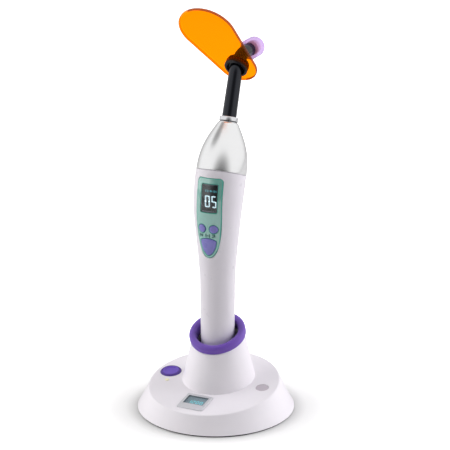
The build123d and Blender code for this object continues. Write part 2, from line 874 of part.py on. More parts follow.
pin_foot = charging_board_top + pin_travel + fit_gap
for pin_name, pin_x in (("charge_pin_centre", 0), ("charge_pin_ring", pin_step)):
    with BuildPart() as charge_pin:
        with BuildSketch(upright(pin_x, grip_offset, pin_foot)):
            Circle(pin_radius)
        extrude(amount=tail_height - pin_rest_gap - pin_foot)
        fillet(charge_pin.faces().sort_by(Axis.Z)[-1].edges(), pin_radius * 0.6)
    charge_pin.part.label = pin_name
    export_step(charge_pin.part, f"parts/{pin_name}.step")

# Tail of the handpiece: end cap with a disc and a ring contact let into it
tail = grip_plane(0)
plug_radius = tail_radius - grip_wall - seat_gap
contact_ring = (pin_step - contact_ring_width / 2, pin_step + contact_ring_width / 2)
with BuildPart() as tail_cap:
    revolve(
        outline(
            tail,
            (0, 0),
            (tail_radius, 0),
            (tail_radius, tail_cap_height - turn_gap),
            (plug_radius, tail_cap_height - turn_gap),
            (plug_radius, tail_cap_height + tail_plug_height),
            (plug_radius - grip_wall, tail_cap_height + tail_plug_height),
            (plug_radius - grip_wall, tail_cap_height),
            (0, tail_cap_height),
        ),
        axis=axis_of(tail),
    )
    fillet(tail_cap.edges().filter_by(GeomType.CIRCLE).group_by(Axis.Z)[0], tail_round)
    with BuildSketch(tail):
        Circle(contact_ring[1] + fit_gap)
        Circle(contact_ring[0] - fit_gap, mode=Mode.SUBTRACT)
        Circle(contact_disc + fit_gap)
    extrude(amount=contact_sheet, mode=Mode.SUBTRACT)
tail_cap.part.label = "tail_cap"
export_step(tail_cap.part, "parts/tail_cap.step")

with BuildPart() as tail_contacts:
    with BuildSketch(tail):
        Circle(contact_ring[1])
        Circle(contact_ring[0], mode=Mode.SUBTRACT)
        Circle(contact_disc)
    extrude(amount=contact_sheet)
tail_contacts.part.label = "tail_contacts"
export_step(tail_contacts.part, "parts/tail_contacts.step")


def panel_outline(growth):
    """The control panel's outline from the front, grown all round by an amount."""
    half = panel_half_width + growth
    top = panel_top + growth
    with BuildSketch(grip_front) as shape:
        with BuildLine():
            Line((0, top), (half, top))
            Line((half, top), (half, panel_shoulder))
            Spline(
                (half, panel_shoulder),
                (panel_narrow_half + growth, panel_narrow),
                (panel_chin_half + growth, panel_chin - growth / 2),
                (0, panel_bottom - growth),
                tangents=((0, -1), (-1, 0)),
            )
            mirror(about=Plane.YZ)
        make_face()
        top_corners = shape.vertices().group_by(Axis.Y)[-1].sort_by(Axis.X)
        fillet([top_corners[0], top_corners[-1]], panel_corner + growth)
    return shape.sketch


def window_outline(growth):
    with BuildSketch(grip_front) as shape:
        with Locations((0, (window_top + window_bottom) / 2)):
            RectangleRounded(
                2 * (window_half_width + growth),
                window_top - window_bottom + 2 * growth,
                window_corner + max(growth, 0),
            )
    return shape.sketch


def key_outline(x, growth):
    with BuildSketch(grip_front) as shape:
        with Locations((x, key_height)):
            Circle(key_radius + growth)
    return shape.sketch


def power_outline(growth):
    """The large button: a flat arc across the top and a round chin."""
    half = power_half_width + growth
    corner_height = power_top - power_corner
    with BuildSketch(grip_front) as shape:
        with BuildLine():
            ThreePointArc((-half, corner_height), (0, power_top + growth), (half, corner_height))
            Spline(
                (half, corner_height),
                (half * 0.84, (corner_height + power_bottom) / 2),
                (0, power_bottom - growth),
                (-half * 0.84, (corner_height + power_bottom) / 2),
                (-half, corner_height),
                tangents=((0, -1), (0, 1)),
            )
        make_face()
    return shape.sketch


def forward(face):
    """A prism from the upright middle plane forward through the panel."""
    return extrude(face, amount=front_reach, dir=grip_front.z_dir, mode=Mode.PRIVATE)


# Grip shell, recessed for the panel and open for the window and the keys
grip_outside = grip_form(0, tail_cap_height)
grip_inside = grip_form(-grip_wall, tail_cap_height)
with BuildPart() as panel_recess:
    add(grip_form(grip_wall, tail_cap_height))
    add(grip_form(-panel_depth - fit_gap, tail_cap_height), mode=Mode.SUBTRACT)
    add(forward(panel_outline(fit_gap)), mode=Mode.INTERSECT)

with BuildPart() as grip_barrel:
    add(grip_outside)
    add(grip_inside, mode=Mode.SUBTRACT)
    add(panel_recess.part, mode=Mode.SUBTRACT)
    add(forward(window_outline(-window_ledge)), mode=Mode.SUBTRACT)
    add(forward(power_outline(slide_gap)), mode=Mode.SUBTRACT)
    for side in (-1, 1):
        add(forward(key_outline(side * key_x, slide_gap)), mode=Mode.SUBTRACT)
grip_barrel.part.label = "grip_barrel"
export_step(grip_barrel.part, "parts/grip_barrel.step")

# Mint panel let into the grip
panel_bed = grip_form(-panel_depth, tail_cap_height)
with BuildPart() as panel_bezel:
    add(grip_form(panel_proud, tail_cap_height))
    add(panel_bed, mode=Mode.SUBTRACT)
    add(forward(panel_outline(0)), mode=Mode.INTERSECT)
    add(forward(window_outline(fit_gap)), mode=Mode.SUBTRACT)
    add(forward(power_outline(slide_gap)), mode=Mode.SUBTRACT)
    for side in (-1, 1):
        add(forward(key_outline(side * key_x, slide_gap)), mode=Mode.SUBTRACT)
panel_bezel.part.label = "panel_bezel"
export_step(panel_bezel.part, "parts/panel_bezel.step")

with BuildPart() as display_window:
    add(grip_form(panel_proud / 2, tail_cap_height))
    add(panel_bed, mode=Mode.SUBTRACT)
    add(forward(window_outline(0)), mode=Mode.INTERSECT)
display_window.part.label = "display_window"
export_step(display_window.part, "parts/display_window.step")


def plunger(face, flange_face, proud):
    """A key: a shaft that stands proud of the grip, and a wider flange behind its wall."""
    back = Plane(origin=(0, key_back, 0), x_dir=(1, 0, 0), z_dir=(0, -1, 0))
    with BuildPart() as shaft:
        add(forward(face))
        add(grip_form(proud, tail_cap_height), mode=Mode.INTERSECT)
        split(bisect_by=back, keep=Keep.TOP)
    with BuildPart() as flange:
        add(forward(flange_face))
        add(grip_form(-grip_wall - fit_gap, tail_cap_height), mode=Mode.INTERSECT)
        split(bisect_by=back, keep=Keep.TOP)
    with BuildPart() as whole:
        add(shaft.part)
        add(flange.part)
    return whole.part


for key_name, side in (("mode_key", -1), ("time_key", 1)):
    with BuildPart() as key:
        add(plunger(key_outline(side * key_x, 0), key_outline(side * key_x, key_flange), key_proud))
    key.part.label = key_name
    export_step(key.part, f"parts/{key_name}.step")

with BuildPart() as power_button:
    add(plunger(power_outline(0), power_outline(key_flange), power_proud))
power_button.part.label = "power_button"
export_step(power_button.part, "parts/power_button.step")

# Carrier inside the grip: a trough for the battery and a tongue for the control board
trough = grip_plane(frame_start)
with BuildPart() as inner_frame:
    with BuildSketch(trough):
        Circle(frame_outer)
        Circle(frame_inner, mode=Mode.SUBTRACT)
        Rectangle(2 * frame_outer, frame_outer, align=(Align.CENTER, Align.MAX), mode=Mode.SUBTRACT)
    extrude(amount=frame_top + frame_end - frame_start)
    with BuildSketch(trough):
        Circle(frame_outer)
    extrude(amount=frame_end)
    with BuildSketch(grip_plane(frame_top)):
        Circle(frame_outer)
    extrude(amount=frame_end)
    with BuildSketch(upright(0, tongue_front, tail_height + frame_top)):
        Rectangle(2 * tongue_half_width, tongue_thickness, align=(Align.CENTER, Align.MIN))
    extrude(amount=head.origin.Z + tongue_top - tail_height - frame_top)
inner_frame.part.label = "inner_frame"
export_step(inner_frame.part, "parts/inner_frame.step")

cell = grip_plane(battery_start)
with BuildPart() as battery:
    with BuildSketch(cell):
        Circle(battery_radius)
    extrude(amount=battery_length)
    fillet(battery.edges().filter_by(GeomType.CIRCLE), 0.6)
    with BuildSketch(cell.offset(battery_length)):
        Circle(battery_nub_radius)
    extrude(amount=battery_nub_height)
battery.part.label = "battery"
export_step(battery.part, "parts/battery.step")

# Contact spring between the carrier's floor and the battery
spring_rise = spring_space - 2 * spring_wire - 2 * turn_gap
with BuildPart() as battery_spring:
    with BuildLine() as coil:
        Helix(
            pitch=spring_rise / spring_turns,
            height=spring_rise,
            radius=spring_radius,
            center=grip_plane(frame_start + frame_end + spring_wire + turn_gap).origin,
        )
    with BuildSketch(Plane(origin=coil.line @ 0, z_dir=coil.line % 0)):
        Circle(spring_wire)
    sweep(is_frenet=True)
battery_spring.part.label = "battery_spring"
export_step(battery_spring.part, "parts/battery_spring.step")

with BuildPart() as battery_contact:
    with BuildSketch(grip_plane(frame_top - contact_thickness)):
        Circle(contact_radius)
    extrude(amount=contact_thickness)
battery_contact.part.label = "battery_contact"
export_step(battery_contact.part, "parts/battery_contact.step")

# Control board with its switches, display module and buzzer
board_front = tongue_front - control_thickness
with BuildPart() as control_board:
    with BuildSketch(upright(0, tongue_front, board_foot)):
        Rectangle(2 * control_half_width, control_thickness, align=(Align.CENTER, Align.MAX))
    extrude(amount=control_top - control_bottom)
control_board.part.label = "control_board"
export_step(control_board.part, "parts/control_board.step")

board_face = Plane(origin=(0, board_front, head.origin.Z), x_dir=(1, 0, 0), z_dir=(0, -1, 0))
with BuildPart() as tact_switches:
    with BuildSketch(board_face):
        with Locations((-key_x, key_height), (key_x, key_height), (0, power_tact_height)):
            Rectangle(tact_size, tact_size)
    extrude(amount=tact_height * 0.7)
    with BuildSketch(board_face):
        with Locations((-key_x, key_height), (key_x, key_height), (0, power_tact_height)):
            Circle(tact_size * 0.3)
    extrude(amount=tact_height)
tact_switches.part.label = "tact_switches"
export_step(tact_switches.part, "parts/tact_switches.step")

with BuildPart() as display_module:
    with BuildSketch(board_face):
        with Locations((0, (module_bottom + module_top) / 2)):
            Rectangle(2 * module_half_width, module_top - module_bottom)
    extrude(amount=module_depth)
display_module.part.label = "display_module"
export_step(display_module.part, "parts/display_module.step")

with BuildPart() as buzzer:
    back_face = Plane(
        origin=(0, tongue_front + tongue_thickness, head.origin.Z + buzzer_height),
        x_dir=(1, 0, 0),
        z_dir=(0, 1, 0),
    )
    with BuildSketch(back_face):
        Circle(buzzer_radius)
    extrude(amount=buzzer_thickness)
buzzer.part.label = "buzzer"
export_step(buzzer.part, "parts/buzzer.step")

# Aluminium nozzle: an ogive turned round the head's axis, with a spigot in the grip
spigot_outer = swell_radius - grip_wall - seat_gap
spigot_inner = spigot_outer - spigot_wall
socket_bore = socket_radius + turn_gap
with BuildPart() as nozzle:
    with BuildSketch(beside(head)):
        with BuildLine():
            Polyline((spigot_inner, -spigot_length), (spigot_outer, -spigot_length), (spigot_outer, 0))
            Line((spigot_outer, 0), (swell_radius, 0))
            Spline(
                (swell_radius, 0),
                (nozzle_shoulder, nozzle_shoulder_along),
                (nozzle_neck, nozzle_neck_along),
                (nozzle_tip_radius, nozzle_length),
                tangents=((0, 1), (-0.5, 1)),
            )
            Polyline(
                (nozzle_tip_radius, nozzle_length),
                (socket_bore, nozzle_length),
                (socket_bore, nozzle_length - nozzle_tip_solid),
            )
            Spline(
                (socket_bore, nozzle_length - nozzle_tip_solid),
                (nozzle_shoulder - nozzle_wall, nozzle_shoulder_along),
                (swell_radius - nozzle_wall, 3.0),
                tangents=((0.6, -1), (0, -1)),
            )
            Polyline(
                (swell_radius - nozzle_wall, 3.0),
                (spigot_inner, 1.5),
                (spigot_inner, -spigot_length),
            )
        make_face()
    revolve(axis=axis_of(head))
nozzle.part.label = "nozzle"
export_step(nozzle.part, "parts/nozzle.step")

# Polished ring with the guide's socket
ring_foot = nozzle_length + turn_gap
with BuildPart() as guide_socket:
    revolve(
        outline(
            head,
            (guide_radius + turn_gap, socket_foot),
            (socket_flange_radius, socket_foot),
            (socket_flange_radius, socket_foot + socket_flange),
            (socket_radius, socket_foot + socket_flange),
            (socket_radius, ring_foot),
            (ring_foot_radius, ring_foot),
            (ring_head_radius, ring_foot + ring_length - 0.4),
            (ring_head_radius - 0.4, ring_foot + ring_length),
            (guide_radius + turn_gap, ring_foot + ring_length),
        ),
        axis=axis_of(head),
    )
guide_socket.part.label = "guide_socket"
export_step(guide_socket.part, "parts/guide_socket.step")

# Light engine: grooved heat sink, board, emitter and lens
sink_groove = (sink_top - sink_foot - sink_flange) / (2 * sink_groove_count + 1)
with BuildPart() as heat_sink:
    with BuildSketch(head.offset(sink_foot)):
        Circle(spigot_inner - sink_gap)
    extrude(amount=sink_flange)
    with BuildSketch(head.offset(sink_foot + sink_flange)):
        Circle(sink_radius)
    extrude(amount=sink_top - sink_foot - sink_flange)
    for groove in range(sink_groove_count):
        groove_foot = sink_foot + sink_flange + sink_groove * (2 * groove + 1)
        with BuildSketch(head.offset(groove_foot)):
            Circle(sink_radius)
            Circle(sink_radius - sink_groove_depth, mode=Mode.SUBTRACT)
        extrude(amount=sink_groove, mode=Mode.SUBTRACT)
heat_sink.part.label = "heat_sink"
export_step(heat_sink.part, "parts/heat_sink.step")

with BuildPart() as led_board:
    with BuildSketch(head.offset(sink_top)):
        RegularPolygon(led_board_radius, 6)
    extrude(amount=led_board_thickness)
led_board.part.label = "led_board"
export_step(led_board.part, "parts/led_board.step")

with BuildPart() as led_emitter:
    with BuildSketch(head.offset(sink_top + led_board_thickness)):
        Rectangle(emitter_size, emitter_size)
    extrude(amount=emitter_height)
    dome = head.offset(sink_top + led_board_thickness + emitter_height)
    with BuildSketch(beside(dome)):
        with BuildLine():
            Line((0, 0), (emitter_dome, 0))
            CenterArc((0, 0), emitter_dome, 0, 90)
            Line((0, emitter_dome), (0, 0))
        make_face()
    revolve(axis=axis_of(head))
led_emitter.part.label = "led_emitter"
export_step(led_emitter.part, "parts/led_emitter.step")

with BuildPart() as collimator_lens:
    revolve(
        outline(
            head,
            (0, lens_foot),
            (lens_foot_radius, lens_foot),
            (lens_top_radius, lens_top - lens_rim),
            (lens_rim_radius, lens_top - lens_rim),
            (lens_rim_radius, lens_top),
            (0, lens_top),
        ),
        axis=axis_of(head),
    )
collimator_lens.part.label = "collimator_lens"
export_step(collimator_lens.part, "parts/collimator_lens.step")

# Light guide: ferrule with an O-ring in its groove, sheath and core
core_radius = guide_bent_radius - sheath_wall
sheath_foot = guide_foot + ferrule_length
guide_end = guide_straight_end + guide_bend_radius * radians(guide_bend_angle) + guide_tail
groove_half = seal_wire + fit_gap
groove_floor = guide_radius - 2 * seal_wire - fit_gap
with BuildPart() as guide_ferrule:
    revolve(
        outline(
            head,
            (core_radius, guide_foot),
            (guide_radius, guide_foot),
            (guide_radius, seal_along - groove_half),
            (groove_floor, seal_along - groove_half),
            (groove_floor, seal_along + groove_half),
            (guide_radius, seal_along + groove_half),
            (guide_radius, sheath_foot),
            (core_radius, sheath_foot),
        ),
        axis=axis_of(head),
    )
guide_ferrule.part.label = "guide_ferrule"
export_step(guide_ferrule.part, "parts/guide_ferrule.step")

with BuildPart() as guide_seal:
    with BuildSketch(beside(head)):
        with Locations((guide_radius - seal_wire, seal_along)):
            Circle(seal_wire)
    revolve(axis=axis_of(head))
guide_seal.part.label = "guide_seal"
export_step(guide_seal.part, "parts/guide_seal.step")

with BuildPart() as light_guide:
    add(guide_form(0, sheath_foot, guide_radius, guide_bent_radius, guide_tail))
    add(guide_form(0, sheath_foot, core_radius, core_radius, guide_tail), mode=Mode.SUBTRACT)
light_guide.part.label = "light_guide"
export_step(light_guide.part, "parts/light_guide.step")

with BuildPart() as guide_core:
    add(guide_form(-turn_gap, guide_foot, core_radius, core_radius, guide_tail + core_proud))
guide_core.part.label = "guide_core"
export_step(guide_core.part, "parts/guide_core.step")

# Eye shield: an egg-shaped plate that turns on a grommet at the guide's bend
grommet = Plane(
    origin=guide_plane(shield_along).origin,
    x_dir=(1, 0, 0),
    z_dir=(0, sin(radians(shield_lean)), cos(radians(shield_lean))),
)
plate_side = shield_thickness / 2 + turn_gap
neck_radius = shield_hole - 2 * turn_gap
with BuildPart() as shield_grommet:
    revolve(
        outline(
            grommet,
            (0, -plate_side - grommet_lip),
            (grommet_lip_radius - 0.5, -plate_side - grommet_lip),
            (grommet_lip_radius, -plate_side - grommet_lip + 0.6),
            (grommet_lip_radius, -plate_side),
            (neck_radius, -plate_side),
            (neck_radius, plate_side),
            (grommet_lip_radius, plate_side),
            (grommet_lip_radius - 0.5, plate_side + grommet_back_lip),
            (0, plate_side + grommet_back_lip),
        ),
        axis=axis_of(grommet),
    )
    funnel_foot = -plate_side - grommet_lip
    funnel = outline(
        grommet,
        (0, funnel_foot),
        (grommet_funnel_radius, funnel_foot),
        (guide_radius, funnel_foot + grommet_funnel_depth),
        (0, funnel_foot + grommet_funnel_depth),
    )
    revolve(funnel, axis=axis_of(grommet), mode=Mode.SUBTRACT)
    add(
        guide_form(turn_gap, sheath_foot, guide_radius, guide_bent_radius, guide_tail),
        mode=Mode.SUBTRACT,
    )
shield_grommet.part.label = "shield_grommet"
export_step(shield_grommet.part, "parts/shield_grommet.step")

with BuildPart() as eye_shield:
    turn = radians(shield_turn)
    long_axis = grommet.x_dir * cos(turn) - grommet.y_dir * sin(turn)
    plate = Plane(origin=grommet.origin, x_dir=long_axis, z_dir=grommet.z_dir)
    with BuildSketch(plate.offset(-shield_thickness / 2)):
        Circle(shield_near_radius)
        with Locations((shield_far_distance, 0)):
            Circle(shield_far_radius)
        make_hull()
        Circle(shield_hole, mode=Mode.SUBTRACT)
    extrude(amount=shield_thickness)
    outer_edges = eye_shield.edges().filter_by(
        lambda edge: (edge.center() - grommet.origin).length > shield_near_radius - 1
    )
    fillet(outer_edges, shield_edge_round)
eye_shield.part.label = "eye_shield"
export_step(eye_shield.part, "parts/eye_shield.step")

# Soft cap on the guide's tip
cap = guide_plane(cap_start)
cap_bore = guide_bent_radius + slide_gap
with BuildPart() as tip_cap:
    with BuildSketch(beside(cap)) as cap_shape:
        with BuildLine():
            Polyline(
                (cap_bore, 0),
                (cap_radius, 0),
                (cap_radius, cap_length),
                (0, cap_length),
                (0, cap_bore_depth),
                (cap_bore, cap_bore_depth),
                close=True,
            )
        make_face()
        fillet(cap_shape.vertices().sort_by_distance((cap_radius, cap_length))[0], cap_dome_round)
        fillet(cap_shape.vertices().sort_by_distance((cap_radius, 0))[0], cap_mouth_round)
    revolve(axis=axis_of(cap))
tip_cap.part.label = "tip_cap"
export_step(tip_cap.part, "parts/tip_cap.step")
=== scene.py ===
import json
from math import asin, cos, pi, radians, sin, sqrt, tan

import bmesh
import bpy
import numpy as np
from mathutils import Matrix, Vector

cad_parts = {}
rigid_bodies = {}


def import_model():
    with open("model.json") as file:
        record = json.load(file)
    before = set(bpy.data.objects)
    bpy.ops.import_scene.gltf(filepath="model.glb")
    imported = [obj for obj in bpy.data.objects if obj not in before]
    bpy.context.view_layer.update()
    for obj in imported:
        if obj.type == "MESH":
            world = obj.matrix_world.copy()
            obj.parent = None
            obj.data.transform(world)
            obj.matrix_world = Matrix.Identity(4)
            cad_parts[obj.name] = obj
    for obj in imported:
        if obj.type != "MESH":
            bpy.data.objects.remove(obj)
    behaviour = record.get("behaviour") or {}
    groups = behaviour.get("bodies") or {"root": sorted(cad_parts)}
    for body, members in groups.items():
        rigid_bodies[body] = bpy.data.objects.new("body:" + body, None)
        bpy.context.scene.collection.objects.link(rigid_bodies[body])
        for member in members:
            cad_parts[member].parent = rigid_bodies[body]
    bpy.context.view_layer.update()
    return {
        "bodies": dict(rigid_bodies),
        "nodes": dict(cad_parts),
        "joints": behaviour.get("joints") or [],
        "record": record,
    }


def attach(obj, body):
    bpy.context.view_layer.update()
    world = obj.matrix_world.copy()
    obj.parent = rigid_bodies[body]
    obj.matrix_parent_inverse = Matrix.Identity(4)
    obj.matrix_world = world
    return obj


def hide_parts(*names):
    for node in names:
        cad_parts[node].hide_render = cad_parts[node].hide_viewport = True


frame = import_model()
nodes = frame["nodes"]
mm = 0.001
print("frame loaded:", len(nodes), "nodes")

# Camera, at the photograph's angle
view = {
    "place": (0.43402, -0.90995, 0.43752), "pitch": 73.276, "turn": 25.133, "lens": 121.79, "sensor": 36,
    "farthest": 20,
}
cameraData = bpy.data.cameras.new("photoCamera")
cameraData.lens = view["lens"]
cameraData.sensor_width = view["sensor"]
cameraData.clip_end = view["farthest"]
camera = bpy.data.objects.new("photoCamera", cameraData)
camera.location = view["place"]
camera.rotation_euler = (radians(view["pitch"]), 0, radians(view["turn"]))
bpy.context.scene.collection.objects.link(camera)
bpy.context.scene.camera = camera


# Adds a node to a material, to the sky or to a Geometry Nodes tree. Each feed is a value or a socket, and
# _1 stands for the input numbered 1
def addNode(tree, kind, settings=None, **feeds):
    node = tree.nodes.new(kind)
    for name, value in (settings or {}).items():
        setattr(node, name, value)
    for name, feed in feeds.items():
        socket = node.inputs[int(name[1:])] if name[1:].isdigit() else node.inputs[name.replace("_", " ")]
        if isinstance(feed, bpy.types.NodeSocket):
            tree.links.new(feed, socket)
        else:
            socket.default_value = feed
    return node


def mathOf(tree, way, a, b):
    return addNode(tree, "ShaderNodeMath", {"operation": way}, _0=a, _1=b).outputs[0]


def rampOf(tree, value, start, end, low, high, kind="LINEAR"):
    ramp = addNode(
        tree, "ShaderNodeMapRange", {"interpolation_type": kind},
        Value=value, From_Min=start, From_Max=end, To_Min=low, To_Max=high,
    )
    return ramp.outputs["Result"]


# Materials: each starts as a shader with plain values, and its pattern is added to it
noiseSpan = (0.3, 0.7)  # where most of the noise lies
cloudSize, patchSize = 0.02, 0.006  # of a plastic's colour and of its gloss, in metres
glossSpan = (0.85, 1.2)  # of a plastic's roughness, from patch to patch


def shaderOf(made):
    return made.node_tree.nodes["Principled BSDF"]


def newMaterial(name, colour, roughness, **sockets):
    made = bpy.data.materials.new(name)
    made.use_nodes = True
    for label, value in {"Base_Color": (*colour, 1), "Roughness": roughness, **sockets}.items():
        shaderOf(made).inputs[label.replace("_", " ")].default_value = value
    return made


def feedShader(made, label, socket):
    made.node_tree.links.new(socket, shaderOf(made).inputs[label])


def noiseOf(tree, size, detail=3.0, turn=(0, 0, 0), stretch=(1, 1, 1)):
    place = addNode(tree, "ShaderNodeTexCoord").outputs["Object"]
    turned = addNode(
        tree, "ShaderNodeMapping", {"vector_type": "TEXTURE"}, Vector=place, Rotation=turn, Scale=stretch
    )
    noise = addNode(tree, "ShaderNodeTexNoise", Vector=turned.outputs[0], Scale=1 / size, Detail=detail)
    return noise.outputs["Fac"]


def mottle(made, size, darker, lighter, **placing):
    ramp = addNode(made.node_tree, "ShaderNodeValToRGB", Fac=noiseOf(made.node_tree, size, **placing))
    for stop, position, colour in zip(ramp.color_ramp.elements, noiseSpan, (darker, lighter)):
        stop.position = position
        stop.color = (*colour, 1)
    feedShader(made, "Base Color", ramp.outputs["Color"])


def uneven(made, size, low, high, **placing):
    tree = made.node_tree
    feedShader(made, "Roughness", rampOf(tree, noiseOf(tree, size, **placing), *noiseSpan, low, high))


def grain(made, size, depth, **placing):
    height = noiseOf(made.node_tree, size, 2.0, **placing)
    bump = addNode(made.node_tree, "ShaderNodeBump", Height=height, Strength=1.0, Distance=depth)
    feedShader(made, "Normal", bump.outputs["Normal"])


def tinted(colour, factor):
    return tuple(min(channel * factor, 1) for channel in colour)


def plasticOf(name, colour, roughness, spread=0.03, grainSize=0.0006, grainDepth=0.000004, **sockets):
    made = newMaterial(name, colour, roughness, **sockets)
    mottle(made, cloudSize, tinted(colour, 1 - spread), tinted(colour, 1 + spread))
    uneven(made, patchSize, *(roughness * factor for factor in glossSpan))
    grain(made, grainSize, grainDepth)
    return made


# Each finish: name, colour, roughness, then the spread of its colour and its grain's size and depth
gripWhite = plasticOf("gripWhite", (0.76, 0.73, 0.78), 0.32, 0.012, 0.0009, 0.0000012, Coat_Weight=0.1)
# painted light: the base and collar take the grip's white plastic made brighter, standing in for the stronger
# light on them
litBaseWhite = plasticOf("litBaseWhite", (0.87, 0.84, 0.885), 0.34, 0.012, 0.0009, 0.0000012, Coat_Weight=0.1)
footRubber = plasticOf("footRubber", (0.035, 0.035, 0.04), 0.75, 0.1, 0.0007, 0.00003)
innerGrey = plasticOf("innerGrey", (0.35, 0.35, 0.37), 0.5)
purpleRubber = plasticOf(
    "purpleRubber", (0.148, 0.062, 0.43), 0.52, 0.05, 0.0008, 0.000012, Sheen_Weight=0.15
)
# painted sheen: the panel keys' purple is made lighter and bluer, standing in for the sheen on them
panelKeySheen = plasticOf("panelKeySheen", (0.205, 0.19, 0.54), 0.3, 0.05, 0.0005, 0.000004, Coat_Weight=0.4)
purpleKey = plasticOf("purpleKey", (0.138, 0.065, 0.50), 0.36, 0.04, 0.0005, 0.000006)
# painted shade: a darker copy of the key's purple for its rim and groove
keyRimShade = plasticOf("keyRimShade", (0.075, 0.035, 0.27), 0.4, 0.05, 0.0005, 0.000006)
frost = plasticOf("frost", (0.54, 0.485, 0.54), 0.45, 0.03, 0.0004, 0.00001)
lampPipe = plasticOf("lampPipe", (0.92, 0.87, 0.58), 0.35, 0.03)
silverFrame = plasticOf("silverFrame", (0.66, 0.66, 0.69), 0.33, 0.02, Metallic=0.5)
mintPanel = plasticOf(
    "mintPanel", (0.17, 0.455, 0.385), 0.2, 0.05, 0.0007, 0.000002, Coat_Weight=1.0, Coat_IOR=2.6
)
# painted shade: a darker teal for the mint bezel's rounded edge
mintRimShade = plasticOf("mintRimShade", (0.06, 0.36, 0.28), 0.3, 0.05)
componentBlack = plasticOf("componentBlack", (0.02, 0.02, 0.023), 0.45, 0.1)
batteryWrap = plasticOf("batteryWrap", (0.03, 0.12, 0.36), 0.3, 0.06)
boardGreen = plasticOf("boardGreen", (0.01, 0.13, 0.05), 0.35, 0.15, 0.002, 0.00002)
emitterYellow = plasticOf("emitterYellow", (0.85, 0.68, 0.12), 0.5)
lcdDark = plasticOf("lcdDark", (0.006, 0.012, 0.018), 0.3, 0.1)
# its reflections are tinted blue-lavender, a painted tint on its highlights
guideBlack = plasticOf(
    "guideBlack", (0.001, 0.001, 0.003), 0.12, 0.1, 0.003, 0.000006,
    Specular_IOR_Level=0.5, Specular_Tint=(0.84, 0.88, 1.0, 1),
)
grommetRubber = plasticOf(
    "grommetRubber", (0.007, 0.005, 0.008), 0.28, 0.1, 0.0006, 0.000008, Specular_IOR_Level=0.4
)
# the guide seal's own rubber, also used as painted shade in the ring's seam groove
sealAndSeamShade = plasticOf("sealAndSeamShade", (0.01, 0.01, 0.01), 0.5, 0.1)
fibreEnd = plasticOf("fibreEnd", (0.55, 0.48, 0.42), 0.12, 0.08, 0.0003, 0.000003, Coat_Weight=0.5)
litBar = plasticOf(
    "litBar", (0.9, 0.97, 0.97), 0.4, 0.02, Emission_Color=(0.8, 0.98, 1.0, 1), Emission_Strength=1.9
)
cyanMark = plasticOf(
    "cyanMark", (0.2, 0.66, 0.7), 0.4, 0.05, Emission_Color=(0.2, 0.75, 0.8, 1), Emission_Strength=0.55
)
inkTeal = plasticOf("inkTeal", (0.006, 0.09, 0.08), 0.45, 0.1)
deckCell = plasticOf("deckCell", (0.62, 0.72, 0.76), 0.35, 0.1)
lensGlass = plasticOf("lensGlass", (0.9, 0.93, 0.95), 0.04, 0.01, Transmission_Weight=0.9)


# Clear plastic: light goes straight through with a plain tint, and less of it towards the edges
def clearOf(name, tint, colour, roughness, body=0.1, edge=5, most=0.9, **sockets):
    made = plasticOf(name, colour, roughness, 0.05, 0.02, 0.000002, **sockets)
    tree = made.node_tree
    facing = addNode(tree, "ShaderNodeLayerWeight").outputs["Facing"]
    share = rampOf(tree, mathOf(tree, "POWER", facing, edge), 0, 1, body, most)
    clear = addNode(tree, "ShaderNodeBsdfTransparent", Color=(*tint, 1))
    blend = addNode(tree, "ShaderNodeMixShader", Fac=share, _1=clear.outputs[0], _2=shaderOf(made).outputs[0])
    tree.links.new(blend.outputs[0], tree.nodes["Material Output"].inputs["Surface"])
    return made


orangeClear = clearOf("orangeClear", (1.0, 0.49, 0.015), (1.0, 0.30, 0.0), 0.06, 0.02, 5, 0.45)
# painted shade for the shield's upper edge, and paler painted light for its lower edge
shadedUpperRim = clearOf("shadedUpperRim", (0.62, 0.20, 0.03), (0.22, 0.05, 0.01), 0.12, 0.55)
litLowerRim = clearOf("litLowerRim", (0.98, 0.50, 0.02), (0.85, 0.34, 0.01), 0.1, 0.4)
smoked = clearOf(  # glassy, so that the bright side of the room shows in it
    "smoked", (0.78, 0.82, 0.85), (0.004, 0.005, 0.006), 0.08, 0.28, 3,
    IOR=2.1, Coat_Weight=1.0, Coat_IOR=2.3, Coat_Roughness=0.06,
)
deckGlass = clearOf("deckGlass", (0.90, 0.93, 0.95), (0.03, 0.035, 0.04), 0.05, 0.06, 3)
lavender = clearOf("lavender", (0.90, 0.76, 0.96), (0.62, 0.45, 0.88), 0.22, 0.4, 3)
# painted light: the cap's bore tinted peach for the shield's orange light on it
shieldLitBore = clearOf("shieldLitBore", (0.95, 0.74, 0.70), (0.72, 0.33, 0.22), 0.3, 0.5, 3)


def metalOf(name, colour, roughness, size=0.0002, depth=0.000002, spread=0.05, **placing):
    made = newMaterial(name, colour, roughness, Metallic=1.0)
    mottle(made, size * 4, tinted(colour, 1 - spread), tinted(colour, 1 + spread), **placing)
    uneven(made, size * 2, roughness * (1 - 5 * spread), roughness * (1 + 5 * spread), **placing)
    grain(made, size, depth, **placing)
    return made


headTilt = radians(19.4)
turnedLines = {"turn": (-headTilt, 0, 0), "stretch": (60, 60, 1)}  # fine rings round the head's axis
noseMetal = metalOf("noseMetal", (0.87, 0.87, 0.875), 0.25, 0.0003, 0.00000004, 0.01, **turnedLines)
ringMetal = metalOf("ringMetal", (0.74, 0.74, 0.76), 0.08, 0.0005, 0.0000002, **turnedLines)
sinkMetal = metalOf("sinkMetal", (0.5, 0.5, 0.52), 0.4)
ferruleSteel = metalOf("ferruleSteel", (0.56, 0.56, 0.58), 0.22, 0.0003, 0.000001, **turnedLines)
screwSteel = metalOf("screwSteel", (0.48, 0.48, 0.5), 0.35)
weightSteel = metalOf("weightSteel", (0.25, 0.25, 0.27), 0.5, 0.0008, 0.00001)
contactBrass = metalOf("contactBrass", (0.80, 0.58, 0.24), 0.25)

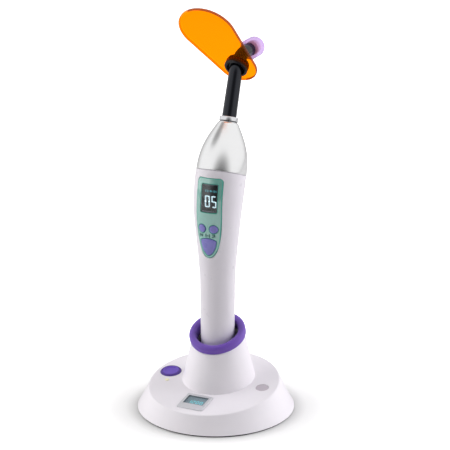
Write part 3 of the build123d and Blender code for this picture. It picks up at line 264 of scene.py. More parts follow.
finishes = {
    gripWhite: ["tail_cap", "grip_barrel"],
    litBaseWhite: ["base_housing", "cradle_collar"],
    footRubber: ["base_pad"],
    innerGrey: ["base_plate", "cradle_cup", "inner_frame"],
    screwSteel: ["base_screws", "board_screws", "collar_screws", "cup_screws", "battery_spring"],
    weightSteel: ["ballast"],
    boardGreen: ["base_board", "charging_board", "control_board", "led_board"],
    componentBlack: ["dc_jack", "base_switch", "photodiode", "tact_switches", "buzzer"],
    contactBrass: [
        "pin_sleeves", "charge_pin_centre", "charge_pin_ring", "tail_contacts", "battery_contact",
    ],
    purpleRubber: ["cradle_ring"],
    purpleKey: ["base_button"],
    panelKeySheen: ["mode_key", "time_key", "power_button"],
    frost: ["sensor_window"],
    lampPipe: ["charge_lamp"],
    silverFrame: ["lcd_bezel"],
    smoked: ["display_window", "lcd_glass"],
    lcdDark: ["lcd_module", "display_module"],
    mintPanel: ["panel_bezel"],
    batteryWrap: ["battery"],
    noseMetal: ["nozzle"],
    ringMetal: ["guide_socket"],
    sinkMetal: ["heat_sink"],
    emitterYellow: ["led_emitter"],
    lensGlass: ["collimator_lens"],
    ferruleSteel: ["guide_ferrule"],
    sealAndSeamShade: ["guide_seal"],
    guideBlack: ["light_guide"],
    fibreEnd: ["guide_core"],
    grommetRubber: ["shield_grommet"],
    orangeClear: ["eye_shield"],
    lavender: ["tip_cap"],
}
for finish, names in finishes.items():
    for name in names:
        nodes[name].data.materials.clear()
        nodes[name].data.materials.append(finish)
print("materials:", len(finishes))


# Frames in millimetres, with their z along an axis and their x to the object's right
def frameOf(origin, axis):
    up = Vector(axis).normalized()
    across = Vector((1, 0, 0))
    turned = Matrix((across, up.cross(across), up)).transposed().to_4x4()
    return Matrix.Translation(Vector(origin)) @ turned


# The grip's shell, its sizes as in the CAD model
grip = {
    "offset": 3.0, "tail": 25.0, "straight": 109.5, "leanRadius": 105.7, "tailRadius": 11.6,
    "waistRadius": 12.3, "waist": 62.0, "swellRadius": 17.65, "swell": 140.0,
}
deck = {"height": 19.8, "slope": radians(7.8)}
deckFrame = frameOf((0, 0, deck["height"]), (0, -sin(deck["slope"]), cos(deck["slope"])))
headFrame = frameOf(
    (
        0,
        grip["offset"] + grip["leanRadius"] * (1 - cos(headTilt)),
        grip["tail"] + grip["straight"] + grip["leanRadius"] * sin(headTilt),
    ),
    (0, sin(headTilt), cos(headTilt)),
)


def gripRadius(distance):
    if distance <= grip["waist"]:
        return grip["tailRadius"] + (grip["waistRadius"] - grip["tailRadius"]) * distance / grip["waist"]
    share = min((distance - grip["waist"]) / (grip["swell"] - grip["waist"]), 1)
    return grip["waistRadius"] + (grip["swellRadius"] - grip["waistRadius"]) * share**2 * (3 - 2 * share)


def onGrip(x, height, growth):
    distance = height - grip["tail"]
    for step in range(20):  # walks along the leaning axis until the surface's height is met
        lean = max(distance - grip["straight"], 0) / grip["leanRadius"]
        deep = sqrt(max((gripRadius(distance) + growth) ** 2 - x**2, 0.01))
        rise = min(distance, grip["straight"]) + grip["leanRadius"] * sin(lean)
        distance += height - (grip["tail"] + rise + deep * sin(lean))
    return Vector((x, grip["offset"] + grip["leanRadius"] * (1 - cos(lean)) - deep * cos(lean), height))


# Mesh helpers: outlines are (radius, height, round) corners
fullRound = 0.49  # a rounding takes up just under half of each side at most
poleRadius, mergeDistance = 1e-6, 1e-5
sharpAngle, grownSharpAngle = radians(32), radians(30)  # steeper edges than these stay sharp


def roundedOutline(corners, closed=False, steps=5):
    points = []
    for index, corner in enumerate(corners):
        place = Vector(corner[:2])
        size = corner[2] if len(corner) > 2 else 0
        if size <= 0 or (not closed and index in (0, len(corners) - 1)):
            points.append(place)
            continue
        before = Vector(corners[index - 1][:2]) - place
        after = Vector(corners[(index + 1) % len(corners)][:2]) - place
        half = before.angle(after) / 2
        reach = min(size / tan(half), before.length * fullRound, after.length * fullRound)
        start, end = before.normalized() * reach, after.normalized() * reach
        centre = (before.normalized() + after.normalized()).normalized() * (reach / cos(half))
        spread = (start - centre).angle(end - centre)
        for step in range(steps + 1):
            share = step / steps
            arm = (start - centre) * sin((1 - share) * spread) + (end - centre) * sin(share * spread)
            points.append(place + centre + arm / sin(spread))
    return [tuple(point) for point in points]


# A curve through the points, with no kinks, that starts and ends in the ways given
def smoothCurve(points, startWay, endWay, steps=12):
    points = [np.array(point, float) for point in points]
    spans = [float(np.linalg.norm(b - a)) for a, b in zip(points, points[1:])]
    count = len(points)
    matrix, wanted = np.eye(count), np.zeros((count, 2))
    wanted[0] = np.array(startWay) / np.linalg.norm(startWay)
    wanted[-1] = np.array(endWay) / np.linalg.norm(endWay)
    for k in range(1, count - 1):
        before, after = spans[k - 1], spans[k]
        matrix[k, k - 1], matrix[k, k], matrix[k, k + 1] = after, 2 * (before + after), before
        wanted[k] = 3 * (
            after * (points[k] - points[k - 1]) / before + before * (points[k + 1] - points[k]) / after
        )
    slopes = np.linalg.solve(matrix, wanted)
    made = [tuple(points[0])]
    for k, span in enumerate(spans):
        for step in range(1, steps + 1):
            t = step / steps
            made.append(tuple(
                (2 * t**3 - 3 * t**2 + 1) * points[k] + (t**3 - 2 * t**2 + t) * span * slopes[k]
                + (3 * t**2 - 2 * t**3) * points[k + 1] + (t**3 - t**2) * span * slopes[k + 1]
            ))
    return made


# Turns an outline round the z axis of place; paint gives each band between two corners its material
def lathe(form, outline, place, steps, closed=False, paint=None):
    rings = []
    for radius, height in outline:
        angles = [0] if radius < poleRadius else [2 * pi * k / steps for k in range(steps)]
        spots = [Vector((radius * cos(angle), radius * sin(angle), height)) for angle in angles]
        rings.append([form.verts.new(place @ spot) for spot in spots])
    pairs = zip(rings, rings[1:] + rings[:1] if closed else rings[1:])
    for band, (low, high) in enumerate(pairs):
        for k in range(steps):
            n = k + 1
            ring = []  # a pole's ring is one point, so its faces have three corners
            for corner in (low[k % len(low)], low[n % len(low)], high[n % len(high)], high[k % len(high)]):
                if corner not in ring:
                    ring.append(corner)
            if len(ring) > 2:
                face = form.faces.new(ring)
                face.material_index = paint(band) if paint else 0


# Moves a loop to its left by the distance, with a limit where its corners are sharp
def inset(loop, distance):
    moved = []
    for k, point in enumerate(loop):
        here = Vector(point)
        arrive = (here - Vector(loop[k - 1])).normalized()
        leave = (Vector(loop[(k + 1) % len(loop)]) - here).normalized()
        side = Vector((-arrive.y - leave.y, arrive.x + leave.x))
        side = side.normalized() / max(side.length / 2, 0.5)
        moved.append((here.x + side.x * distance, here.y + side.y * distance))
    return moved


# A plate with holes. loops: the outer one counterclockwise, then holes clockwise; edge: (inset, height) from
# the top down; cuts: width of the strips that let the plate be wrapped round a curve
def plate(form, loops, edge, cuts=0, paint=None):
    rings = []
    for distance, height in edge:
        rings.append([
            [form.verts.new((x, y, height)) for x, y in inset(loop, distance)] for loop in loops
        ])
    for band, (upper, lower) in enumerate(zip(rings, rings[1:])):
        for a, b in zip(upper, lower):
            for k in range(len(a)):
                n = (k + 1) % len(a)
                face = form.faces.new((a[k], b[k], b[n], a[n]))
                face.material_index = paint(band) if paint else 0
    for ring in (rings[0], rings[-1]):
        sides = [form.edges.get((loop[k - 1], loop[k])) for loop in ring for k in range(len(loop))]
        bmesh.ops.triangle_fill(form, use_beauty=True, edges=sides)
        for side in sides:
            side.smooth = False
    if cuts:
        low = [min(v.co[axis] for v in form.verts) for axis in (0, 1)]
        high = [max(v.co[axis] for v in form.verts) for axis in (0, 1)]
        for axis in (0, 1):
            count = int((high[axis] - low[axis]) / cuts)
            for k in range(1, count):
                way = Vector((1, 0, 0)) if axis == 0 else Vector((0, 1, 0))
                spot = way * (low[axis] + (high[axis] - low[axis]) * k / count)
                everything = form.verts[:] + form.edges[:] + form.faces[:]
                bmesh.ops.bisect_plane(form, geom=everything, plane_co=spot, plane_no=way)


def wrap(form, place):
    for vertex in form.verts:
        vertex.co = place(*vertex.co)


def circleLoop(x, y, radius, steps=48, clockwise=False):
    turn = -2 * pi if clockwise else 2 * pi
    angles = [turn * k / steps for k in range(steps)]
    return [(x + radius * cos(angle), y + radius * sin(angle)) for angle in angles]


def finishPiece(name, form, body, finishes, standsFor=()):
    bmesh.ops.remove_doubles(form, verts=form.verts, dist=mergeDistance)
    bmesh.ops.recalc_face_normals(form, faces=form.faces)
    for edge in form.edges:
        if len(edge.link_faces) == 2 and edge.calc_face_angle(0) > sharpAngle:
            edge.smooth = False
    for face in form.faces:
        face.smooth = True
    bmesh.ops.scale(form, vec=(mm, mm, mm), verts=form.verts)
    mesh = bpy.data.meshes.new(name)
    form.to_mesh(mesh)
    form.free()
    finishMesh(name, mesh, body, finishes, standsFor)


def finishMesh(name, mesh, body, finishes=(), standsFor=()):
    for finish in finishes:
        mesh.materials.append(finish)
    piece = bpy.data.objects.new(name, mesh)
    bpy.context.scene.collection.objects.link(piece)
    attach(piece, body)
    if standsFor:
        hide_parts(*standsFor)


# Geometry Nodes: a tree with named inputs, run on a cloud of points and turned into a plain mesh
def newTree(name, inputs):
    tree = bpy.data.node_groups.new(name, "GeometryNodeTree")
    tree.interface.new_socket("Geometry", in_out="INPUT", socket_type="NodeSocketGeometry")
    for label in inputs:
        kind = "NodeSocketMaterial" if label == "Finish" else "NodeSocketFloat"
        tree.interface.new_socket(label, in_out="INPUT", socket_type=kind)
    tree.interface.new_socket("Geometry", in_out="OUTPUT", socket_type="NodeSocketGeometry")
    return tree, tree.nodes.new("NodeGroupInput"), tree.nodes.new("NodeGroupOutput")


def closeTree(tree, start, end, shape):
    spun = addNode(tree, "GeometryNodeInputNamedAttribute", {"data_type": "FLOAT_VECTOR"}, Name="facing")
    turned = addNode(tree, "FunctionNodeEulerToRotation", Euler=spun.outputs["Attribute"])
    points = start.outputs["Geometry"]
    spread = addNode(
        tree, "GeometryNodeInstanceOnPoints", Points=points, Instance=shape, Rotation=turned.outputs[0]
    )
    real = addNode(tree, "GeometryNodeRealizeInstances", Geometry=spread.outputs[0])
    finish = start.outputs["Finish"]
    painted = addNode(tree, "GeometryNodeSetMaterial", Geometry=real.outputs[0], Material=finish)
    tree.links.new(painted.outputs[0], end.inputs[0])


def grow(name, tree, places, values):
    points = bpy.data.meshes.new(name)
    points.from_pydata([place.translation * mm for place in places], [], [])
    facing = points.attributes.new("facing", "FLOAT_VECTOR", "POINT")
    for spot, place in zip(facing.data, places):
        spot.vector = place.to_euler()
    holder = bpy.data.objects.new(name, points)
    bpy.context.scene.collection.objects.link(holder)
    rule = holder.modifiers.new("rule", "NODES")
    rule.node_group = tree
    for socket in tree.interface.items_tree:
        if socket.in_out == "INPUT" and socket.name in values:
            value = values[socket.name]
            rule[socket.identifier] = value if isinstance(value, bpy.types.Material) else value * mm
    evaluated = holder.evaluated_get(bpy.context.evaluated_depsgraph_get())
    mesh = bpy.data.meshes.new_from_object(evaluated)
    bpy.data.objects.remove(holder)
    mesh.name = name
    mesh.polygons.foreach_set("use_smooth", [True] * len(mesh.polygons))
    mesh.set_sharp_from_angle(angle=grownSharpAngle)
    return mesh


# Control panel: mint plate whose rim is painted darker for shade, keys that dome out of it; points are (x,
# height) on the grip
panel = {
    "halfWidth": 9.55, "top": 170.35, "shoulder": 146.0, "narrow": (8.25, 128.0), "chin": (5.85, 119.0),
    "bottom": 113.85, "corner": 3.0, "strip": 1.2, "rimBands": 3,
    "edge": [(0.5, 0.25), (0.22, 0.22), (0.06, 0.12), (0, -0.05), (0, -0.78)],
    "window": {"left": -5.5, "right": 6.6, "low": 146.9, "high": 166.3, "corner": 0.9},
}
keys = {
    "across": 4.3, "height": 135.2, "radius": 2.8, "hole": 3.0, "flange": 3.5, "proud": 0.9,
    "seat": -1.7, "foot": -7.0,
    "dome": [(0.25, 1.0), (0.5, 0.98), (0.72, 0.92), (0.88, 0.8), (0.965, 0.6), (1.0, 0.3)],
}
power = {
    "halfWidth": 5.6, "shoulder": 126.6, "arch": 1.6, "waist": (0.84, 121.25), "tip": 115.9,
    "gap": 0.2, "flange": 0.7, "proud": 1.1, "steps": 12,
}


def panelLoop():
    half, shoulder, top = panel["halfWidth"], panel["shoulder"], panel["top"]
    sides = [(half, shoulder), panel["narrow"], panel["chin"], (0, panel["bottom"])]
    lower = smoothCurve(sides, (0, -1), (-1, 0))
    corner = roundedOutline([(half, shoulder), (half, top, panel["corner"]), (0, top)], steps=8)
    right = [*reversed(lower), *corner[1:]]
    left = [(-x, z) for x, z in reversed(right[1:-1])]
    return right + left


def windowLoop():
    window = panel["window"]
    left, right, low, high = (window[side] for side in ("left", "right", "low", "high"))
    corners = ((right, low), (right, high), (left, high), (left, low))
    return roundedOutline([(x, z, window["corner"]) for x, z in corners], closed=True)


def powerLoop(grow=0.0):
    half, shoulder = power["halfWidth"] + grow, power["shoulder"]
    arch = []
    for k in range(power["steps"] + 1):
        x = -half + 2 * half * k / power["steps"]
        arch.append((x, shoulder + (power["arch"] + grow) * (1 - (2 * k / power["steps"] - 1) ** 2)))
    waist, waistHeight = power["waist"]
    lower = smoothCurve(
        [
            (half, shoulder), (half * waist, waistHeight), (0, power["tip"] - grow),
            (-half * waist, waistHeight), (-half, shoulder),
        ],
        (0, -1), (0, 1),
    )
    return (arch + lower[1:-1])[::-1]


bezelForm = bmesh.new()
keyHoles = [circleLoop(x, keys["height"], keys["hole"], 40, True) for x in (-keys["across"], keys["across"])]
bezelLoops = [panelLoop(), windowLoop()[::-1], powerLoop(power["gap"])[::-1], *keyHoles]
# the bezel's edge bands take the painted shade
plate(bezelForm, bezelLoops, panel["edge"], panel["strip"], lambda band: 1 if band < panel["rimBands"] else 0)
wrap(bezelForm, onGrip)
finishPiece("mintBezel", bezelForm, "handpiece", [mintPanel, mintRimShade], ["panel_bezel"])


def domedKey(name, loop, body, node, proud, flange):
    form = bmesh.new()
    middle = Vector((sum(p[0] for p in loop) / len(loop), sum(p[1] for p in loop) / len(loop)))
    rings = []
    for share, lift in keys["dome"]:
        ring = [middle + (Vector(p) - middle) * share for p in loop]
        rings.append([form.verts.new(onGrip(p.x, p.y, proud * lift)) for p in ring])
    rings.append([form.verts.new(onGrip(x, z, keys["seat"])) for x, z in loop])
    rings.append([form.verts.new(onGrip(x, z, keys["seat"])) for x, z in flange])
    rings.append([form.verts.new((x, keys["foot"], z)) for x, z in flange])
    for upper, lower in zip(rings, rings[1:]):
        for k in range(len(upper)):
            n = (k + 1) % len(upper)
            form.faces.new((upper[k], lower[k], lower[n], upper[n]))
    crown = form.verts.new(onGrip(middle.x, middle.y, proud))
    for k in range(len(loop)):
        form.faces.new((crown, rings[0][k], rings[0][(k + 1) % len(loop)]))
    form.faces.new(rings[-1])
    finishPiece(name, form, body, [panelKeySheen], [node])


for name, body, node, side in (
    ("modeKey", "left_key", "mode_key", -1), ("timeKey", "right_key", "time_key", 1),
):
    x, height = side * keys["across"], keys["height"]
    flange = circleLoop(x, height, keys["flange"])
    domedKey(name, circleLoop(x, height, keys["radius"]), body, node, keys["proud"], flange)
domedKey("powerKey", powerLoop(), "power_key", "power_button", power["proud"], powerLoop(power["flange"]))
print("control panel done")

# Nose: turned from one bar, with its edges broken; sizes are (radius, height over the seam)
nose = {
    "spigot": [(14.45, -4.0), (15.7, -4.0), (15.85, -3.85), (15.85, 0.0)],
    "seam": [(16.95, 0.0), (17.6, 0.55)],
    "outside": [(17.65, 0), (15.8, 15.7), (10.2, 29.3), (7.2, 34.9)],
    "outsideEnds": [(0, 1), (-0.5, 1)],  # the ways in which the outside starts and ends
    "kept": (0.6, 34.6),  # the stretch of the outside between its two broken edges
    "mouth": [(7.25, 34.7), (7.05, 34.9), (6.35, 34.9)],
    "inside": [(6.35, 31.3), (13.9, 15.7), (15.75, 3.0)],
    "insideEnds": [(0.6, -1), (0, -1)],
    "step": (14.45, 1.5), "around": 160,
}
low, high = nose["kept"]
outside = smoothCurve(nose["outside"], *nose["outsideEnds"], steps=16)
outside = [point for point in outside if low < point[1] < high]
inside = smoothCurve(nose["inside"], *nose["insideEnds"], steps=10)
noseForm = bmesh.new()
noseOutline = [*nose["spigot"], *nose["seam"], *outside, *nose["mouth"], *inside, nose["step"]]
lathe(noseForm, noseOutline, headFrame, nose["around"], closed=True)
finishPiece("turnedNose", noseForm, "handpiece", [noseMetal], ["nozzle"])

# Polished ring that holds the guide; its seam groove over the nose's mouth is painted dark for shade
ring = {
    "socket": [(5.15, 24.1), (7.4, 24.1), (7.4, 25.5), (6.3, 25.5), (6.3, 34.95)],
    "lower": [(6.62, 34.95, 0.12), (6.62, 35.5, 0.1)],
    "seam": [(6.0, 35.55), (6.0, 36.1)],
    "upper": [(6.6, 36.2, 0.1), (6.42, 39.15, 0.45), (5.5, 39.15, 0.2), (5.15, 38.7, 0.1)],
    "dark": {"over": 35.4, "under": 36.15, "within": 6.6}, "around": 128,
}
ringForm = bmesh.new()
ringCorners = ring["socket"] + ring["lower"] + ring["seam"] + ring["upper"]
ringOutline = roundedOutline(ringCorners, closed=True, steps=4)
# the groove's faces, which take the painted shade
dark = ring["dark"]
seamShadeBands = {
    k for k, (radius, height) in enumerate(ringOutline)
    if dark["over"] < height < dark["under"] and radius < dark["within"]
}
lathe(ringForm, ringOutline, headFrame, ring["around"], True, lambda band: 1 if band in seamShadeBands else 0)
finishPiece("polishedRing", ringForm, "handpiece", [ringMetal, sealAndSeamShade], ["guide_socket"])
print("nose done")

# Orange eye shield: an egg-shaped plate with rounded edges; the upper edge is painted dark for shade and the
# lower one paler for light
shield = {
    "centre": (0, 34.7778, 240.385), "lean": radians(52.4), "turn": radians(111.0), "thick": 2.0, "hole": 7.5,
    "near": 14.7, "far": 21.0, "reach": 35.5, "round": 0.7, "roundSteps": 5, "arcSteps": 72, "litRimUnder": -2,
}
shieldFrame = frameOf(shield["centre"], (0, sin(shield["lean"]), cos(shield["lean"])))
across, uphill, normal = (shieldFrame.col[k].xyz for k in range(3))
lengthways = across * cos(shield["turn"]) - uphill * sin(shield["turn"])
shieldAxes = Matrix((lengthways, normal.cross(lengthways), normal)).transposed().to_4x4()
shieldPlace = Matrix.Translation(shieldFrame.translation) @ shieldAxes
meeting = asin((shield["far"] - shield["near"]) / shield["reach"])  # where the sides leave the two arcs
shieldLoop = []
for centre, radius, first, last in (
    (0, shield["near"], pi / 2 + meeting, 3 * pi / 2 - meeting),
    (shield["reach"], shield["far"], -pi / 2 - meeting, pi / 2 + meeting),
):
    for k in range(shield["arcSteps"] + 1):
        angle = first + (last - first) * k / shield["arcSteps"]
        shieldLoop.append((centre + radius * cos(angle), radius * sin(angle)))
half, edgeRound = shield["thick"] / 2, shield["round"]
upper = []
for k in range(shield["roundSteps"] + 1):
    angle = k * pi / 2 / shield["roundSteps"]
    upper.append((edgeRound * (1 - sin(angle)), half - edgeRound * (1 - cos(angle))))
lower = [(inward, -height) for inward, height in reversed(upper)]
shieldForm = bmesh.new()
shieldHole = circleLoop(0, 0, shield["hole"], 64, True)
# the edge bands take the painted shade, and those on the lower side the paler painted light
plate(shieldForm, [shieldLoop, shieldHole], upper + lower, paint=lambda band: 1)
for face in shieldForm.faces:
    if face.material_index and face.calc_center_median().y < shield["litRimUnder"]:
        face.material_index = 2
wrap(shieldForm, lambda x, y, z: shieldPlace @ Vector((x, y, z)))
finishPiece("eyeShield", shieldForm, "shield", [orangeClear, shadedUpperRim, litLowerRim], ["eye_shield"])

# Soft cap on the guide's tip, domed; its bore shows through, painted peach for the shield's orange light on
# it
cap = {
    "origin": (0, 54.6388, 248.032), "axis": (0, 0.998027, 0.062791), "radius": 7.3, "length": 13.6,
    "dome": 6.4, "lip": 1.2, "bore": 4.85, "depth": 10.4, "mouth": 0.8, "end": 1.0, "boreFrom": 33,
    "around": 96,
}
capForm = bmesh.new()
capOutline = roundedOutline([
    (0, cap["length"]), (cap["radius"], cap["length"], cap["dome"]), (cap["radius"], 0, cap["lip"]),
    (cap["bore"], 0, cap["mouth"]), (cap["bore"], cap["depth"], cap["end"]), (0, cap["depth"]),
], steps=10)
capPlace = frameOf(cap["origin"], cap["axis"])
# the bore's bands take the peach painted light
lathe(capForm, capOutline, capPlace, cap["around"], paint=lambda band: 1 if band >= cap["boreFrom"] else 0)
finishPiece("tipCap", capForm, "cap", [lavender, shieldLitBore], ["tip_cap"])
print("shield and cap done")

# Seven-bar figures, one rule for both displays: a bar is a block whose ends come to a point
barTree, barIn, barOut = newTree("displayBars", ["Length", "Width", "Thickness", "Finish"])
barWidth = barIn.outputs["Width"]
blockLength = mathOf(barTree, "SUBTRACT", barIn.outputs["Length"], barWidth)
blockSize = addNode(barTree, "ShaderNodeCombineXYZ", X=blockLength, Y=barWidth, Z=barIn.outputs["Thickness"])
block = addNode(barTree, "GeometryNodeMeshCube", Size=blockSize.outputs[0], Vertices_Y=3)
spot = addNode(barTree, "GeometryNodeInputPosition")
parts = addNode(barTree, "ShaderNodeSeparateXYZ", Vector=spot.outputs[0])
middle = addNode(  # picks the points half way across the bar, which move outwards
    barTree, "FunctionNodeCompare", {"data_type": "FLOAT", "operation": "LESS_THAN"},
    _0=mathOf(barTree, "ABSOLUTE", parts.outputs["Y"], 0.0), _1=0.00001,
)
side = mathOf(barTree, "SIGN", parts.outputs["X"], 0.0)
outward = mathOf(barTree, "MULTIPLY", side, mathOf(barTree, "MULTIPLY", barWidth, 0.5))
push = addNode(barTree, "ShaderNodeCombineXYZ", X=outward)
pointed = addNode(
    barTree, "GeometryNodeSetPosition", Geometry=block.outputs["Mesh"], Selection=middle.outputs["Result"],
    Offset=push.outputs[0],
)
closeTree(barTree, barIn, barOut, pointed.outputs[0])

figureBars = {
    "0": "abcdef", "1": "bc", "2": "abged", "3": "abgcd", "4": "fgbc", "5": "afgcd", "6": "afgedc",
    "7": "abc", "8": "abcdefg", "9": "abcdfg",
}
barGap = 0.25  # share of a bar's width that is left between bars


def barPlaces(frame, sizes, turn):
    side, rise = sizes["width"] / 2 - sizes["bar"] / 2, sizes["height"] / 2 - sizes["bar"] / 2
    lying = {"a": (0, rise), "g": (0, 0), "d": (0, -rise)}
    upright = {"f": (-side, rise / 2), "b": (side, rise / 2), "e": (-side, -rise / 2), "c": (side, -rise / 2)}
    bars = upright if turn else lying
    places = []
    for index, figure in enumerate(sizes["text"]):
        middle = (index - (len(sizes["text"]) - 1) / 2) * sizes["pitch"]
        for letter in figureBars[figure]:
            if letter in bars:
                x, y = bars[letter]
                moved = frame @ Matrix.Translation((middle + x, y, 0))
                places.append(moved @ Matrix.Rotation(radians(turn), 4, "Z"))
    return places


def figures(name, frame, sizes, body, finish):
    bar = sizes["bar"]
    across, upright = sizes["width"] - barGap * bar - bar, sizes["height"] / 2 + bar / 2 - barGap * bar
    for label, turn, length in (("Across", 0, across), ("Upright", 90, upright)):
        mesh = grow(name + label, barTree, barPlaces(frame, sizes, turn), {
            "Length": length, "Width": bar, "Thickness": sizes["thick"], "Finish": finish,
        })
        finishMesh(name + label, mesh, body)


panelDigits = {
    "text": "05", "middle": (-0.35, -7.15, 153.1), "width": 3.9, "height": 8.5, "pitch": 5.0, "bar": 1.0,
    "thick": 0.08,
}
moduleFace = Matrix.Translation(panelDigits["middle"]) @ Matrix.Rotation(pi / 2, 4, "X")
figures("panelFigures", moduleFace, panelDigits, "handpiece", litBar)


def slab(form, x, y, width, height, low, high):
    left, right, near, far = x - width / 2, x + width / 2, y - height / 2, y + height / 2
    corners = ((left, near), (right, near), (right, far), (left, far))
    top, foot = ([form.verts.new((a, b, z)) for a, b in corners] for z in (high, low))
    form.faces.new(top)
    form.faces.new(foot[::-1])
    for k in range(4):
        n = (k + 1) % 4
        form.faces.new((top[k], foot[k], foot[n], top[n]))


# Small marks over the figures: (x, width, height)
marks = {
    "row": 160.6, "face": -7.1, "proud": (0.02, 0.08),
    "bars": [
        (-4.1, 1.0, 1.5), (-2.7, 0.5, 1.9), (-1.8, 0.5, 1.2), (-0.2, 1.5, 0.4), (-0.2, 1.0, 1.3),
        (1.6, 0.5, 1.6), (2.5, 0.5, 1.6), (3.6, 1.1, 0.4), (3.6, 0.4, 1.7),
    ],
}
markForm = bmesh.new()
for x, width, height in marks["bars"]:
    slab(markForm, x, marks["row"], width, height, *marks["proud"])
wrap(markForm, lambda x, z, h: Vector((x, marks["face"] - h, z)))
finishPiece("displayMarks", markForm, "handpiece", [cyanMark])

# Signs between the keys, each of a few strokes: (x, height over the row, width, height)
icons = {
    "row": 130.3, "bolder": 0.22, "proud": (0.22, 0.29),
    "strokes": [
        (-6.3, 0, 0.6, 1.9), (-4.6, 0, 1.7, 0.55), (-4.6, -0.75, 0.9, 0.5), (-4.6, 0.75, 0.55, 0.5),
        (0, 1.0, 2.8, 0.55), (0, -1.0, 2.8, 0.55), (-1.4, 0, 0.6, 1.6), (1.4, 0, 0.6, 1.6), (0, 0, 1.1, 0.5),
        (4.2, 0.9, 1.9, 0.55), (4.9, 0, 0.6, 1.3), (4.1, -0.4, 1.1, 0.55), (3.5, -1.0, 0.7, 0.5),
    ],
}
iconForm = bmesh.new()
for x, rise, width, height in icons["strokes"]:
    width, height = width + icons["bolder"], height + icons["bolder"]
    slab(iconForm, x, icons["row"] + rise, width, height, *icons["proud"])
wrap(iconForm, onGrip)
finishPiece("panelIcons", iconForm, "handpiece", [inkTeal])

# Deck button: a bevelled rim and a groove, both painted darker for shade, and a shallow dish; heights are
# over the deck
deckButton = {
    "at": (-36, 0, 0),
    "foot": [(0, -4.15), (1.7, -4.15), (1.7, -3.65), (8.9, -3.65), (8.9, -2.45), (7.6, -2.45)],
    "rim": [(7.6, 0.25, 0.2), (6.85, 0.9, 0.3), (6.5, 0.95, 0.15)],
    "groove": [(6.3, 0.5, 0.1), (6.15, 0.5, 0.1)],
    "dish": [(5.95, 0.92, 0.2), (4.95, 0.97, 0.3), (4.45, 0.48, 0.4), (0, 0.45)],
    "dark": {"beyond": 6.0, "over": -2.5}, "around": 96,
}
buttonForm = bmesh.new()
buttonOutline = roundedOutline(
    deckButton["foot"] + deckButton["rim"] + deckButton["groove"] + deckButton["dish"], steps=4
)
# the bands of the rim and groove, which take the painted shade
dark = deckButton["dark"]
rimBands = {
    k for k, (start, end) in enumerate(zip(buttonOutline, buttonOutline[1:]))
    if end[0] > dark["beyond"] and start[1] > dark["over"]
}
lathe(
    buttonForm, buttonOutline, deckFrame @ Matrix.Translation(deckButton["at"]), deckButton["around"],
    paint=lambda band: 1 if band in rimBands else 0,
)
finishPiece("deckKey", buttonForm, "button", [purpleKey, keyRimShade], ["base_button"])

# Deck display: a pale cell under clear glass, with a row of figures between them
deckScreen = {
    "middle": (0, -32.7), "width": 15.2, "depth": 10.4, "bevel": 0.15,
    "top": 0.7, "split": -0.1, "gap": 0.02, "foot": -1.8,
}
x, y = deckScreen["middle"]
halfWidth, halfDepth = deckScreen["width"] / 2, deckScreen["depth"] / 2
screenLoop = [
    (x + way * halfWidth, y + rise * halfDepth) for way, rise in ((-1, -1), (1, -1), (1, 1), (-1, 1))
]
for name, high, low, finish in (
    ("screenCell", deckScreen["split"] - deckScreen["gap"], deckScreen["foot"], deckCell),
    ("screenGlass", deckScreen["top"], deckScreen["split"], deckGlass),
):
    bevel = deckScreen["bevel"]
    cellForm = bmesh.new()
    plate(cellForm, [screenLoop], [(bevel, high), (0, high - bevel), (0, low)])
    wrap(cellForm, lambda x, y, z: deckFrame @ Vector((x, y, z)))
    finishPiece(name, cellForm, "base", [finish], ["lcd_glass"])
deckDigits = {
    "text": "1200", "middle": (0.2, -33.9), "width": 2.1, "height": 3.6, "pitch": 2.9, "bar": 0.5,
    "thick": 0.04,
}
digitFrame = deckFrame @ Matrix.Translation((*deckDigits["middle"], deckScreen["split"]))
figures("deckFigures", digitFrame, deckDigits, "base", cyanMark)
print("displays done")

# Screws with a cross recess and a thread, one rule for all; factors of the head's or the shank's own sizes
screwRule = {
    "armLength": 1.15, "armWidth": 0.26, "core": 0.8, "thread": 0.86, "threadWidth": 0.12, "pitch": 0.6,
    "threaded": 0.9,
}
screwLabels = ["Head Radius", "Under Radius", "Head Depth", "Rise", "Shank Radius", "Length", "Recess"]
screwTree, screwIn, screwOut = newTree("crossScrews", [*screwLabels, "Finish"])
headRadius, underRadius, headDepth, rise, shankRadius, length, recess = (
    screwIn.outputs[label] for label in screwLabels
)


def timesOf(socket, factor):
    return mathOf(screwTree, "MULTIPLY", socket, factor)


def raised(shape, height):
    lift = addNode(screwTree, "ShaderNodeCombineXYZ", Z=height)
    return addNode(screwTree, "GeometryNodeTransform", Geometry=shape.outputs[0], Translation=lift.outputs[0])


head = addNode(
    screwTree, "GeometryNodeMeshCone", {"fill_type": "NGON"}, Vertices=32, Radius_Bottom=headRadius,
    Radius_Top=underRadius, Depth=headDepth,
)
slotted = addNode(
    screwTree, "GeometryNodeMeshBoolean", {"operation": "DIFFERENCE"}, Mesh_1=head.outputs["Mesh"]
)
